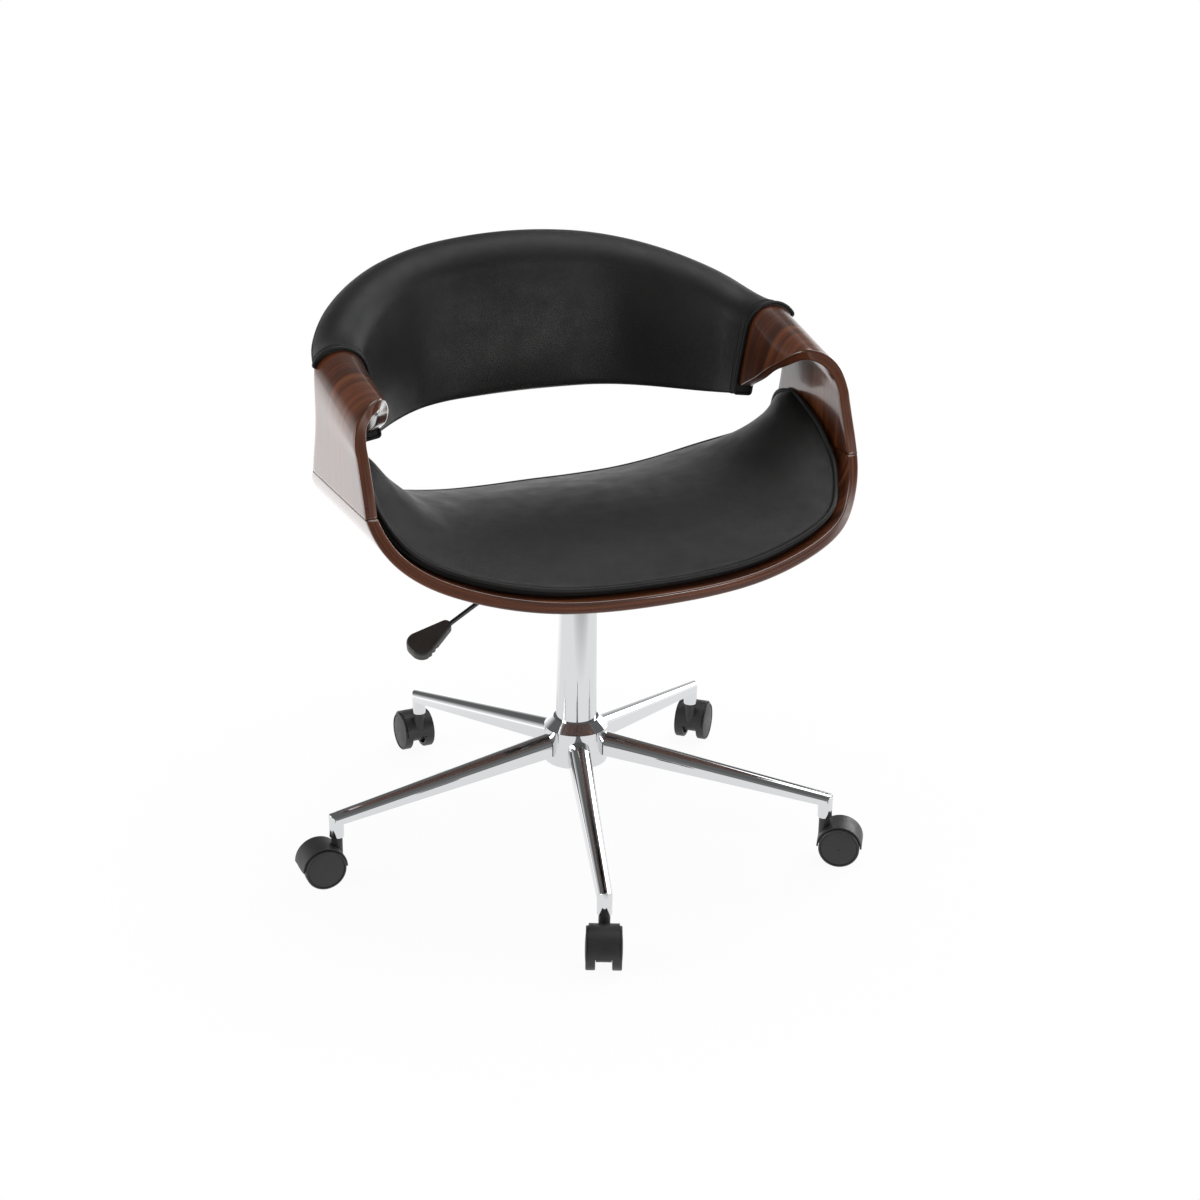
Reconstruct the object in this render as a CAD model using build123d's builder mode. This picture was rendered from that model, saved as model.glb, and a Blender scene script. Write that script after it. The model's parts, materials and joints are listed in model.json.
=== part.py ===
from build123d import *
import os
from math import cos, degrees, radians, sin

# Office chair: a bent plywood bucket seat with leather pads on a gas lift and a five-legged rolling base.
# Millimetres. The origin is on the floor under the column, +Z is up and the chair's front faces -Y.
os.makedirs("parts", exist_ok=True)

# Fits and clearances
press_gap = 0.02
running_gap = 0.05
rest_gap = 0.3

# Rolling base
leg_count = 5
first_leg_angle = 180
stem_circle_radius = 312
hub_radius = 39
hub_bottom = 106
hub_top = 161
hub_collar_drop = 11
hub_collar_radius = 28
leg_wall = 2
leg_root_width = 28
leg_root_height = 27
leg_root_top = 146
leg_tip_width = 17.5
leg_tip_height = 14
leg_tip_top = 88
socket_radius = 9
socket_bottom = 58
socket_depth = 26

# Casters
caster_headings = (178.8, -115, -33.7, 48, 90.6)
wheel_radius = 25
wheel_width = 12
wheel_gap = 19
wheel_rim_width = 2.4
wheel_rim_recess = 0.9
wheel_hub_radius = 7
wheel_cavity_depth = 5
trail = 20
hood_gap = 0.6
hood_wall = 2
hood_width = 35
web_gap = 0.5
web_radius = 16
neck_radius = 6.8
stem_radius = 5.5
stem_top_gap = 2
stem_pin_radius = 4
stem_pin_depth = 27
axle_radius = 3
axle_inset = 3.2

# Gas lift
column_radius = 25
column_foot_radius = 23.5
column_wall = 1.5
column_top = 314
column_floor_height = 4.5
column_floor = 4
bush_length = 70
bush_flange = 3
bearing_radius = 13
bearing_height = 6.9
rod_radius = 5
rod_top = 280
rod_foot = 3.5
shoulder_radius = 11
shoulder_height = 3.5
bumper_height = 8
piston_radius = 11.9
piston_height = 8
clip_radius = 8.5
clip_height = 2
clip_groove = 1
tube_radius = 14
tube_wall = 2
tube_guide = 6
tube_top = 339
tube_top_radius = 13
tube_cap = 23
button_radius = 2.5
button_length = 18
button_bore_depth = 19

# Seat mechanism
taper_socket_radius = 19
taper_socket_bottom = 323
taper_socket_height = 14
housing_half_width = 60
housing_length = 110
housing_bottom = 330
housing_steel = 3
housing_flange = 18
plate_width = 156
plate_length = 190
plate_corner = 15
plate_steel = 3
bolt_half_spacing_x = 50
bolt_half_spacing_y = 78
bolt_radius = 4
bolt_head_width = 13
bolt_head_height = 5.5
nut_barrel_radius = 5
nut_barrel_length = 8
nut_flange_radius = 10
nut_flange = 1.7
nut_recess = 2

# Height lever
lever_pivot_x = -36
lever_pivot_z = 350
lever_pin_radius = 3
lever_ear_gap = 1
lever_ear = 3
rocker_width = 12
rocker_height = 10
rocker_inner_end = 4
rocker_outer_end = -54
lever_rod_radius = 2.75
lever_rod_insert = 12
lever_bend_x = -95
lever_bend_radius = 20
lever_slope = 0.43
lever_sweep = 0.25
lever_rod_end_x = -200
handle_start_x = -172
handle_length = 60
handle_width = 34
handle_neck_radius = 7
handle_corner_radius = 14
handle_thickness = 14
handle_edge = 3
handle_roll = 28
notch_count = 3
notch_pitch = 7
notch_radius = 3
lever_slot_width = 9
lever_slot_height = 18
lever_slot_rise = 2

# Plywood seat shell: the outer face is a flat bottom, a wide arc and a tight arc up to the side walls
ply = 14
ply_edge = 4
ply_easing = 2.5
shell_bottom = 394
shell_flat_half = 60
shell_half_width = 307.7
shell_wide_radius = 530
shell_wide_angle = 22.3
seam_height = 498
lap_height = 10
tongue_front_inset = 3
tongue_rear_inset = 2
# Front and rear edge of the shell where its outer face crosses each station of the profile
shell_flat_edges = ((0, -238, 168), (1, -234.5, 167))
shell_wide_edges = ((0.3, -227.5, 163), (0.6, -216, 155), (0.82, -203, 147), (1, -183, 133))
shell_tight_edges = ((0.25, -164, 117), (0.5, -146.5, 101), (0.75, -133.5, 85), (1, -122.5, 62))

# Plywood arms: a side wall, a roll over the top and a flap down the inside
roll_front_radius = 42
roll_rear_radius = 31
roll_front_height = 573
roll_rear_height = 613
arm_tail = 58
# Wall stations: front edge (y, z) and rear edge (y, z)
arm_wall_edges = (
    (-115.3, 518, 57.5, 518),
    (-106.3, 539, 50.5, 542),
    (-98, 559, 46, 569),
)
# Roll stations: turn in degrees, front edge y and rear edge y
arm_roll_edges = (
    (0, -91, 47),
    (30, -82.5, 55),
    (60, -74.5, 58),
    (90, -64, 58),
)
# Flap stations: inset from the wall and height of the front edge, then of the rear edge
arm_flap_edges = (
    (53.5, -47, 604, 45.5, 642),
    (61.5, -31, 591, 56, 633),
    (67.2, -14, 580, 61.4, 616),
    (71.2, 4, 565, 65, 593),
    (73, 23, 554, 68.5, 572),
    (73.7, 38, 545.5, 71.5, 552),
)
flap_lean = 9.5

# Leather seat cushion, on the inner face of the shell
cushion_gap = 0.8
cushion_front_edge = 16
cushion_rear_edge = 13
cushion_edge_share = 0.6
cushion_bulge_share = 0.35
# At each station of the shell: setback from its front edge and rear edge, lean of the section, thickness
cushion_shell_rows = (
    (12, 14, 0, 44),
    (12, 14, 3, 44),
    (12, 14, 8, 43),
    (12, 14, 18, 41),
    (12, 14, 33, 44),
    (13, 14, 46, 54),
    (15, 13, 48, 58),
    (19, 12, 53, 56.5),
    (25, 11, 59, 51.5),
)
# Lobes up the side walls: height above the seam, front, rear, lean of the section and thickness
cushion_lobe_rows = (
    (0, -87, 54, 62, 46),
    (10, -77, 51, 62, 40.5),
    (20, -62, 48, 65, 34),
    (28, -45, 44, 67, 28),
    (34, -24, 36, 68, 21),
    (37, -8, 26, 65, 14),
)

# Leather back pad: sections from the hem on an arm to the middle of the back
# Inset from the wall, y, z of the lower front edge, heading of the section, height of the top, roll radius,
# roll turn and thickness
pad_sections = (
    (77.7, 47, 534.5, 0, 644, 35, 142, 22),
    (87.7, 74, 528, 20, 648.7, 36, 138, 26),
    (99.7, 92, 525, 33, 662.3, 37, 132, 29),
    (123.7, 119.5, 523, 44, 677.7, 38, 126, 32),
    (147.7, 140, 523, 53, 689.3, 39, 120, 33),
    (171.7, 156, 523, 62, 698.1, 40, 115, 34),
    (207.7, 168.5, 523.5, 74, 707.6, 41, 110, 34.5),
    (257.7, 172.5, 524.5, 83, 714.9, 42, 106, 35),
    (307.7, 173, 525, 90, 717.8, 42, 105, 35),
)
pad_hem_lean = 9.1
pad_middle_lean = 5
pad_crown = 6
pad_hem_crown = 0.5
pad_hem_rounding = 0.14
pad_rounding = 0.36

# Plywood core of the back
core_ply = 12
core_foot = 14
core_first = 2


# Base hub: a steel ring with a sloping collar and a tapered bore for the column
with BuildPart() as base_hub:
    with BuildSketch(Plane.XZ):
        Polygon(
            (column_foot_radius + press_gap, hub_bottom),
            (hub_radius, hub_bottom),
            (hub_radius, hub_top - hub_collar_drop),
            (hub_collar_radius, hub_top),
            (column_radius + press_gap, hub_top),
            align=None,
        )
    revolve(axis=Axis.Z)
base_hub.part.label = "base_hub"
export_step(base_hub.part, "parts/base_hub.step")


def leg_section(distance, width, top, bottom):
    """Half-round section of a leg, square to its length."""
    with BuildSketch(Plane(origin=(distance, 0, 0), x_dir=(0, 1, 0), z_dir=(1, 0, 0))) as section:
        with BuildLine():
            Line((width / 2, bottom), (width / 2, top - width / 2))
            ThreePointArc((width / 2, top - width / 2), (0, top), (-width / 2, top - width / 2))
            Polyline((-width / 2, top - width / 2), (-width / 2, bottom), (width / 2, bottom))
        make_face()
    return section.sketch


# Leg: a pressed half-round channel, open below, with a caster socket at its tip
leg_tip = stem_circle_radius + socket_radius
leg_root_bottom = leg_root_top - leg_root_height
leg_tip_bottom = leg_tip_top - leg_tip_height
leg_start = hub_radius / 2
with BuildPart() as base_leg:
    loft(
        [
            leg_section(leg_start, leg_root_width, leg_root_top, leg_root_bottom),
            leg_section(leg_tip, leg_tip_width, leg_tip_top, leg_tip_bottom),
        ]
    )
    root_inside = leg_root_width - 2 * leg_wall
    tip_inside = leg_tip_width - 2 * leg_wall
    loft(
        [
            leg_section(leg_start, root_inside, leg_root_top - leg_wall, leg_root_bottom - leg_wall),
            leg_section(leg_tip - leg_wall, tip_inside, leg_tip_top - leg_wall, leg_tip_bottom - leg_wall),
        ],
        mode=Mode.SUBTRACT,
    )
    with BuildSketch(Plane.XY.offset(socket_bottom)):
        with Locations((stem_circle_radius, 0)):
            Circle(socket_radius)
    extrude(amount=leg_tip_top - leg_wall - socket_bottom)
    with BuildSketch(Plane.XY.offset(socket_bottom)):
        with Locations((stem_circle_radius, 0)):
            Circle(stem_radius + running_gap)
    extrude(amount=socket_depth, mode=Mode.SUBTRACT)
    with BuildSketch():
        Circle(hub_radius + press_gap)
    extrude(amount=leg_root_top + leg_root_height, mode=Mode.SUBTRACT)

# Caster, drawn with its stem on Z and its axle behind it on +X
axle_height = wheel_radius
hood_inner = wheel_radius + hood_gap
hood_outer = hood_inner + hood_wall
neck_top = socket_bottom - rest_gap
wheel_inner = wheel_gap / 2
wheel_outer = wheel_inner + wheel_width
axle_end = wheel_outer - axle_inset
web_half = wheel_inner - web_gap
hood_plane = Plane(origin=(trail, 0, axle_height), x_dir=(1, 0, 0), z_dir=(0, -1, 0))
with BuildPart() as caster_hood:
    with BuildSketch(hood_plane):
        with BuildLine():
            CenterArc((0, 0), hood_outer, 0, 180)
            Line((-hood_outer, 0), (-hood_inner, 0))
            CenterArc((0, 0), hood_inner, 0, 180)
            Line((hood_inner, 0), (hood_outer, 0))
        make_face()
    extrude(amount=hood_width / 2, both=True)
    with BuildSketch(hood_plane):
        with BuildLine():
            CenterArc((0, 0), hood_inner, 0, 180)
            Line((-hood_inner, 0), (hood_inner, 0))
        make_face()
        Circle(web_radius)
    extrude(amount=web_half, both=True)
    with BuildSketch(Plane.XY.offset(axle_height)):
        Circle(neck_radius)
    extrude(amount=neck_top - axle_height)
    with BuildSketch(Plane.XY.offset(neck_top)):
        Circle(stem_pin_radius + press_gap)
    extrude(amount=-stem_pin_depth, mode=Mode.SUBTRACT)
    with BuildSketch(hood_plane):
        Circle(axle_radius + press_gap)
    extrude(amount=web_half, both=True, mode=Mode.SUBTRACT)

stem_top = socket_bottom + socket_depth - stem_top_gap
with BuildPart() as caster_stem:
    with BuildSketch(Plane.XZ):
        Polygon(
            (0, neck_top - stem_pin_depth),
            (stem_pin_radius, neck_top - stem_pin_depth),
            (stem_pin_radius, neck_top),
            (stem_radius, neck_top),
            (stem_radius, stem_top - stem_radius / 2),
            (stem_radius / 2, stem_top),
            (0, stem_top),
            align=None,
        )
    revolve(axis=Axis.Z)

with BuildPart() as caster_axle:
    with BuildSketch(hood_plane):
        Circle(axle_radius)
    extrude(amount=axle_end, both=True)

# Wheel on the caster's left: a rim, a slightly domed outer disc and a blind bore
rim_inner = wheel_radius - wheel_rim_width
rim_face = wheel_outer - wheel_rim_recess
disc_edge = (trail + rim_inner - wheel_rim_recess, rim_face - wheel_rim_recess / 2)
with BuildPart() as wheel_left:
    with BuildSketch(Plane.XY.offset(axle_height)):
        with BuildLine():
            Polyline(
                (trail, axle_end + running_gap),
                (trail + axle_radius + running_gap, axle_end + running_gap),
                (trail + axle_radius + running_gap, wheel_inner),
                (trail + wheel_hub_radius, wheel_inner),
                (trail + wheel_hub_radius, wheel_inner + wheel_cavity_depth),
                (trail + rim_inner - wheel_rim_width, wheel_inner + wheel_cavity_depth),
                (trail + rim_inner - wheel_rim_width, wheel_inner),
                (trail + wheel_radius - wheel_rim_recess, wheel_inner),
                (trail + wheel_radius, wheel_inner + wheel_rim_recess),
                (trail + wheel_radius, rim_face - wheel_rim_recess),
                (trail + wheel_radius - wheel_rim_recess, rim_face),
                (trail + rim_inner, rim_face),
                (trail + rim_inner, rim_face - wheel_rim_recess),
                disc_edge,
            )
            TangentArc((trail, wheel_outer), disc_edge, tangent=(1, 0))
            Line((trail, wheel_outer), (trail, axle_end + running_gap))
        make_face()
    revolve(axis=Axis((trail, 0, axle_height), (0, 1, 0)))

with BuildPart() as wheel_right:
    add(wheel_left.part)
    mirror(about=Plane.XZ, mode=Mode.REPLACE)

leg_step = 360 / leg_count
for number in range(leg_count):
    leg_angle = first_leg_angle + number * leg_step
    leg_place = Plane(origin=(0, 0, 0), x_dir=(cos(radians(leg_angle)), sin(radians(leg_angle)), 0)).location
    heading = radians(caster_headings[number])
    stem_place = Vector(stem_circle_radius, 0, 0).rotate(Axis.Z, leg_angle)
    caster_place = Plane(origin=stem_place, x_dir=(cos(heading), sin(heading), 0)).location
    pieces = {
        f"base_leg_{number + 1}": leg_place * base_leg.part,
        f"caster_hood_{number + 1}": caster_place * caster_hood.part,
        f"caster_stem_{number + 1}": caster_place * caster_stem.part,
        f"caster_axle_{number + 1}": caster_place * caster_axle.part,
        f"wheel_{number + 1}_left": caster_place * wheel_left.part,
        f"wheel_{number + 1}_right": caster_place * wheel_right.part,
    }
    for label, piece in pieces.items():
        piece.label = label
        export_step(piece, f"parts/{label}.step")

# Gas lift heights, from the hub upwards
floor_under = hub_bottom + column_floor_height
floor_over = floor_under + column_floor
bearing_top = floor_over + bearing_height
shoulder_under = bearing_top + running_gap
bumper_bottom = shoulder_under + shoulder_height
bumper_top = bumper_bottom + bumper_height
tube_bottom = bumper_top + rest_gap
column_bore = column_radius - column_wall


def foot_bore(height):
    """Inner radius of the column's tapered foot at a height."""
    share = (height - hub_bottom) / (hub_top - hub_bottom)
    return column_foot_radius - column_wall + (column_radius - column_foot_radius) * share


# Column: a straight tube whose tapered foot sits in the hub, with a floor that carries the lift
with BuildPart() as column_tube:
    with BuildSketch(Plane.XZ):
        Polygon(
            (column_foot_radius, hub_bottom),
            (column_radius, hub_top),
            (column_radius, column_top),
            (column_bore, column_top),
            (column_bore, hub_top),
            (foot_bore(floor_over), floor_over),
            (rod_radius + rest_gap, floor_over),
            (rod_radius + rest_gap, floor_under),
            (foot_bore(floor_under), floor_under),
            (foot_bore(hub_bottom), hub_bottom),
            align=None,
        )
    revolve(axis=Axis.Z)
column_tube.part.label = "column_tube"
export_step(column_tube.part, "parts/column_tube.step")

# Guide bush: the plastic sleeve that the pressure tube slides in
with BuildPart() as column_bush:
    with BuildSketch(Plane.XZ):
        Polygon(
            (tube_radius + running_gap, column_top - bush_length),
            (column_bore - press_gap, column_top - bush_length),
            (column_bore - press_gap, column_top),
            (column_radius, column_top),
            (column_radius, column_top + bush_flange),
            (tube_radius + running_gap, column_top + bush_flange),
            align=None,
        )
    revolve(axis=Axis.Z)
    chamfer(column_bush.edges().group_by(Axis.Z)[-1].sort_by(SortBy.RADIUS)[-1], length=bush_flange / 3)
column_bush.part.label = "column_bush"
export_step(column_bush.part, "parts/column_bush.step")

# Thrust bearing: the ring that the turning rod stands on
with BuildPart() as thrust_bearing:
    with BuildSketch(Plane.XY.offset(floor_over)):
        Circle(bearing_radius)
        Circle(rod_radius + rest_gap, mode=Mode.SUBTRACT)
    extrude(amount=bearing_height)
thrust_bearing.part.label = "thrust_bearing"
export_step(thrust_bearing.part, "parts/thrust_bearing.step")

# Piston rod: shoulder on the bearing, piston at the top and a groove for the clip under the column's floor
clip_top = floor_under - rest_gap
clip_bottom = clip_top - clip_height
groove_radius = rod_radius - clip_groove
with BuildPart() as piston_rod:
    with BuildSketch(Plane.XZ):
        Polygon(
            (0, clip_bottom - rod_foot / 2),
            (rod_radius, clip_bottom - rod_foot / 2),
            (rod_radius, clip_bottom - press_gap),
            (groove_radius, clip_bottom - press_gap),
            (groove_radius, clip_top + press_gap),
            (rod_radius, clip_top + press_gap),
            (rod_radius, shoulder_under),
            (shoulder_radius, shoulder_under),
            (shoulder_radius, bumper_bottom),
            (rod_radius, bumper_bottom),
            (rod_radius, rod_top - piston_height),
            (piston_radius, rod_top - piston_height),
            (piston_radius, rod_top),
            (0, rod_top),
            align=None,
        )
    revolve(axis=Axis.Z)
piston_rod.part.label = "piston_rod"
export_step(piston_rod.part, "parts/piston_rod.step")

with BuildPart() as column_clip:
    with BuildSketch(Plane.XY.offset(clip_bottom)):
        Circle(clip_radius)
        Circle(groove_radius + press_gap, mode=Mode.SUBTRACT)
    extrude(amount=clip_height)
column_clip.part.label = "column_clip"
export_step(column_clip.part, "parts/column_clip.step")

with BuildPart() as rod_bumper:
    with BuildSketch(Plane.XY.offset(bumper_bottom)):
        Circle(shoulder_radius)
        Circle(rod_radius + press_gap, mode=Mode.SUBTRACT)
    extrude(amount=bumper_height)
rod_bumper.part.label = "rod_bumper"
export_step(rod_bumper.part, "parts/rod_bumper.step")

# Pressure tube: slides on the rod and carries the seat on its tapered top
tube_bore = tube_radius - tube_wall
cavity_top = tube_top - tube_cap
with BuildPart() as pressure_tube:
    with BuildSketch(Plane.XZ):
        Polygon(
            (rod_radius + running_gap, tube_bottom),
            (tube_radius, tube_bottom),
            (tube_radius, taper_socket_bottom),
            (tube_top_radius, tube_top),
            (button_radius + running_gap, tube_top),
            (button_radius + running_gap, tube_top - button_bore_depth),
            (0, tube_top - button_bore_depth),
            (0, cavity_top),
            (tube_bore, cavity_top),
            (tube_bore, tube_bottom + tube_guide),
            (rod_radius + running_gap, tube_bottom + tube_guide),
            align=None,
        )
    revolve(axis=Axis.Z)
pressure_tube.part.label = "pressure_tube"
export_step(pressure_tube.part, "parts/pressure_tube.step")

# Release button in the top of the pressure tube, under the lever's rocker
button_top = lever_pivot_z - rocker_height / 2 - rest_gap
with BuildPart() as release_button:
    with BuildSketch(Plane.XY.offset(button_top)):
        Circle(button_radius)
    extrude(amount=-button_length)
release_button.part.label = "release_button"
export_step(release_button.part, "parts/release_button.step")

# Taper socket: the steel cup that grips the pressure tube
taper_rate = (tube_radius - tube_top_radius) / (tube_top - taper_socket_bottom)
socket_top_bore = tube_radius - taper_rate * taper_socket_height
taper_socket_top = taper_socket_bottom + taper_socket_height
with BuildPart() as taper_socket:
    with BuildSketch(Plane.XZ):
        Polygon(
            (tube_radius + press_gap, taper_socket_bottom),
            (taper_socket_radius, taper_socket_bottom),
            (taper_socket_radius, taper_socket_top),
            (socket_top_bore + press_gap, taper_socket_top),
            align=None,
        )
    revolve(axis=Axis.Z)
taper_socket.part.label = "taper_socket"
export_step(taper_socket.part, "parts/taper_socket.step")

# Seat plate: a flat steel plate bolted under the shell
plate_top = shell_bottom - rest_gap
plate_under = plate_top - plate_steel
with BuildPart() as seat_plate:
    with BuildSketch(Plane.XY.offset(plate_under)):
        RectangleRounded(plate_width, plate_length, plate_corner)
        with GridLocations(2 * bolt_half_spacing_x, 2 * bolt_half_spacing_y, 2, 2):
            Circle(bolt_radius + running_gap, mode=Mode.SUBTRACT)
    extrude(amount=plate_steel)
seat_plate.part.label = "seat_plate"
export_step(seat_plate.part, "parts/seat_plate.step")

# Mechanism housing: a bent channel welded under the plate, with two ears for the lever's pin
housing_outer = housing_half_width
housing_inner = housing_half_width - housing_steel
housing_floor = housing_bottom + housing_steel
flange_under = plate_under - housing_steel
ear_inner = rocker_width / 2 + lever_ear_gap
ear_outer = ear_inner + lever_ear
ear_half = lever_pin_radius + housing_steel
with BuildPart() as mechanism_housing:
    with BuildSketch(Plane.XZ):
        Polygon(
            (-housing_outer - housing_flange, plate_under),
            (-housing_outer - housing_flange, flange_under),
            (-housing_outer, flange_under),
            (-housing_outer, housing_bottom),
            (housing_outer, housing_bottom),
            (housing_outer, flange_under),
            (housing_outer + housing_flange, flange_under),
            (housing_outer + housing_flange, plate_under),
            (housing_inner, plate_under),
            (housing_inner, housing_floor),
            (-housing_inner, housing_floor),
            (-housing_inner, plate_under),
            align=None,
        )
    extrude(amount=housing_length / 2, both=True)
    for side in (-1, 1):
        with BuildSketch(Plane.XZ.offset(side * ear_inner)):
            with Locations((lever_pivot_x, lever_pivot_z)):
                Circle(ear_half)
            with Locations((lever_pivot_x, (lever_pivot_z + housing_floor) / 2)):
                Rectangle(2 * ear_half, lever_pivot_z - housing_floor)
        extrude(amount=side * lever_ear)
    with BuildSketch(Plane.XZ):
        with Locations((lever_pivot_x, lever_pivot_z)):
            Circle(lever_pin_radius + press_gap)
    extrude(amount=ear_outer, both=True, mode=Mode.SUBTRACT)
    with BuildSketch(Plane.XY.offset(housing_bottom)):
        Circle(taper_socket_radius + press_gap)
    extrude(amount=housing_steel, mode=Mode.SUBTRACT)
    with BuildSketch(Plane.YZ.offset(-housing_outer)):
        with Locations((0, lever_pivot_z + lever_slot_rise)):
            SlotOverall(lever_slot_height, lever_slot_width, rotation=90)
    extrude(amount=housing_steel, mode=Mode.SUBTRACT)
mechanism_housing.part.label = "mechanism_housing"
export_step(mechanism_housing.part, "parts/mechanism_housing.step")

with BuildPart() as lever_pin:
    with BuildSketch(Plane.XZ):
        with Locations((lever_pivot_x, lever_pivot_z)):
            Circle(lever_pin_radius)
    extrude(amount=ear_outer, both=True)
lever_pin.part.label = "lever_pin"
export_step(lever_pin.part, "parts/lever_pin.step")

# Bolts from the plate into tee nuts let into the shell's upper face
shell_inner_bottom = shell_bottom + ply
nut_flange_under = shell_inner_bottom - nut_recess
bolt_end = nut_flange_under
with BuildPart() as seat_bolts:
    with BuildSketch(Plane.XY.offset(plate_under - bolt_head_height)):
        with GridLocations(2 * bolt_half_spacing_x, 2 * bolt_half_spacing_y, 2, 2):
            RegularPolygon(bolt_head_width / 2, 6, major_radius=False)
    extrude(amount=bolt_head_height)
    with BuildSketch(Plane.XY.offset(plate_under)):
        with GridLocations(2 * bolt_half_spacing_x, 2 * bolt_half_spacing_y, 2, 2):
            Circle(bolt_radius)
    extrude(amount=bolt_end - plate_under)
seat_bolts.part.label = "seat_bolts"
export_step(seat_bolts.part, "parts/seat_bolts.step")

with BuildPart() as tee_nuts:
    with BuildSketch(Plane.XY.offset(nut_flange_under)):
        with GridLocations(2 * bolt_half_spacing_x, 2 * bolt_half_spacing_y, 2, 2):
            Circle(nut_flange_radius)
    extrude(amount=nut_flange)
    with BuildSketch(Plane.XY.offset(nut_flange_under)):
        with GridLocations(2 * bolt_half_spacing_x, 2 * bolt_half_spacing_y, 2, 2):
            Circle(nut_barrel_radius)
    extrude(amount=-nut_barrel_length)
    with BuildSketch(Plane.XY.offset(nut_flange_under + nut_flange)):
        with GridLocations(2 * bolt_half_spacing_x, 2 * bolt_half_spacing_y, 2, 2):
            Circle(bolt_radius + press_gap)
    extrude(amount=-nut_flange - nut_barrel_length, mode=Mode.SUBTRACT)
tee_nuts.part.label = "tee_nuts"
export_step(tee_nuts.part, "parts/tee_nuts.step")

# Lever: a rocker on the pin over the release button, a bent rod and a moulded handle
rocker_length = rocker_inner_end - rocker_outer_end
with BuildPart() as lever_rocker:
    with BuildSketch(Plane.XZ):
        with Locations(((rocker_inner_end + rocker_outer_end) / 2, lever_pivot_z)):
            SlotOverall(rocker_length, rocker_height)
        with Locations((lever_pivot_x, lever_pivot_z)):
            Circle(lever_pin_radius + running_gap, mode=Mode.SUBTRACT)
    extrude(amount=rocker_width / 2, both=True)
    with BuildSketch(Plane.YZ.offset(rocker_outer_end)):
        with Locations((0, lever_pivot_z)):
            Circle(lever_rod_radius + press_gap)
    extrude(amount=lever_rod_insert, mode=Mode.SUBTRACT)
lever_rocker.part.label = "lever_rocker"
export_step(lever_rocker.part, "parts/lever_rocker.step")


def lever_point(x):
    """Point of the lever's sloping length at a distance across the chair."""
    run = lever_bend_x - x
    return Vector(x, -run * lever_sweep, lever_pivot_z - run * lever_slope)


with BuildPart() as lever_rod:
    with BuildLine() as lever_path:
        FilletPolyline(
            (rocker_outer_end + lever_rod_insert, 0, lever_pivot_z),
            lever_point(lever_bend_x),
            lever_point(lever_rod_end_x),
            radius=lever_bend_radius,
        )
    with BuildSketch(Plane(origin=lever_path.line @ 0, z_dir=lever_path.line % 0)):
        Circle(lever_rod_radius)
    sweep()
lever_rod.part.label = "lever_rod"
export_step(lever_rod.part, "parts/lever_rod.step")

handle_start = lever_point(handle_start_x)
lever_direction = (lever_point(lever_rod_end_x) - handle_start).normalized()
handle_side = Vector(0, 0, 1).cross(lever_direction).normalized()
handle_face = lever_direction.cross(handle_side).rotate(Axis((0, 0, 0), lever_direction), -handle_roll)
handle_plane = Plane(origin=handle_start, x_dir=lever_direction, z_dir=handle_face)
handle_axis = Axis(handle_start, handle_face)
handle_insert = (lever_point(lever_rod_end_x) - handle_start).length
corner_x = handle_length - handle_corner_radius
corner_y = handle_width / 2 - handle_corner_radius
with BuildPart() as lever_handle:
    with BuildSketch(handle_plane):
        with Locations((handle_neck_radius, 0)):
            Circle(handle_neck_radius)
        with Locations((corner_x, corner_y), (corner_x, -corner_y)):
            Circle(handle_corner_radius)
        make_hull()
    extrude(amount=handle_thickness / 2, both=True)
    fillet(lever_handle.faces().sort_by(handle_axis)[-1].edges(), radius=handle_edge)
    fillet(lever_handle.faces().sort_by(handle_axis)[0].edges(), radius=handle_edge)
    with BuildSketch(handle_plane):
        for index in range(notch_count):
            notch_x = corner_x - index * notch_pitch
            widening = (notch_x - handle_neck_radius) / (corner_x - handle_neck_radius)
            notch_y = handle_neck_radius + (handle_width / 2 - handle_neck_radius) * widening
            with Locations((notch_x, notch_y + notch_radius / 2)):
                Circle(notch_radius)
    extrude(amount=-handle_thickness, mode=Mode.SUBTRACT)
    with BuildSketch(Plane(origin=handle_start, z_dir=lever_direction)):
        Circle(lever_rod_radius + press_gap)
    extrude(amount=handle_insert + rest_gap, mode=Mode.SUBTRACT)
lever_handle.part.label = "lever_handle"
export_step(lever_handle.part, "parts/lever_handle.step")


def sheet_section(front, rear, inward, thickness, rounding, easing):
    """Section of a bent sheet from its front edge to its rear edge, on its outer face, rounded or eased."""
    along = Vector(*rear) - Vector(*front)
    with BuildSketch(Plane(origin=front, x_dir=along, z_dir=along.cross(Vector(*inward)))) as section:
        with Locations((along.length / 2, thickness / 2)):
            if rounding > 0:
                RectangleRounded(along.length, thickness, rounding)
            else:
                Rectangle(along.length, thickness)
        if easing > 0:
            chamfer(section.vertices(), length=easing)
    return section.sketch


# Seat shell profile: stations across the right half as (x, z, slope in degrees, front y, rear y)
wide_end_x = shell_flat_half + shell_wide_radius * sin(radians(shell_wide_angle))
wide_end_z = shell_bottom + shell_wide_radius * (1 - cos(radians(shell_wide_angle)))
tight_radius = (shell_half_width - wide_end_x) / (1 - sin(radians(shell_wide_angle)))
tight_centre_x = shell_half_width - tight_radius
tight_centre_z = wide_end_z + tight_radius * cos(radians(shell_wide_angle))


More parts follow.
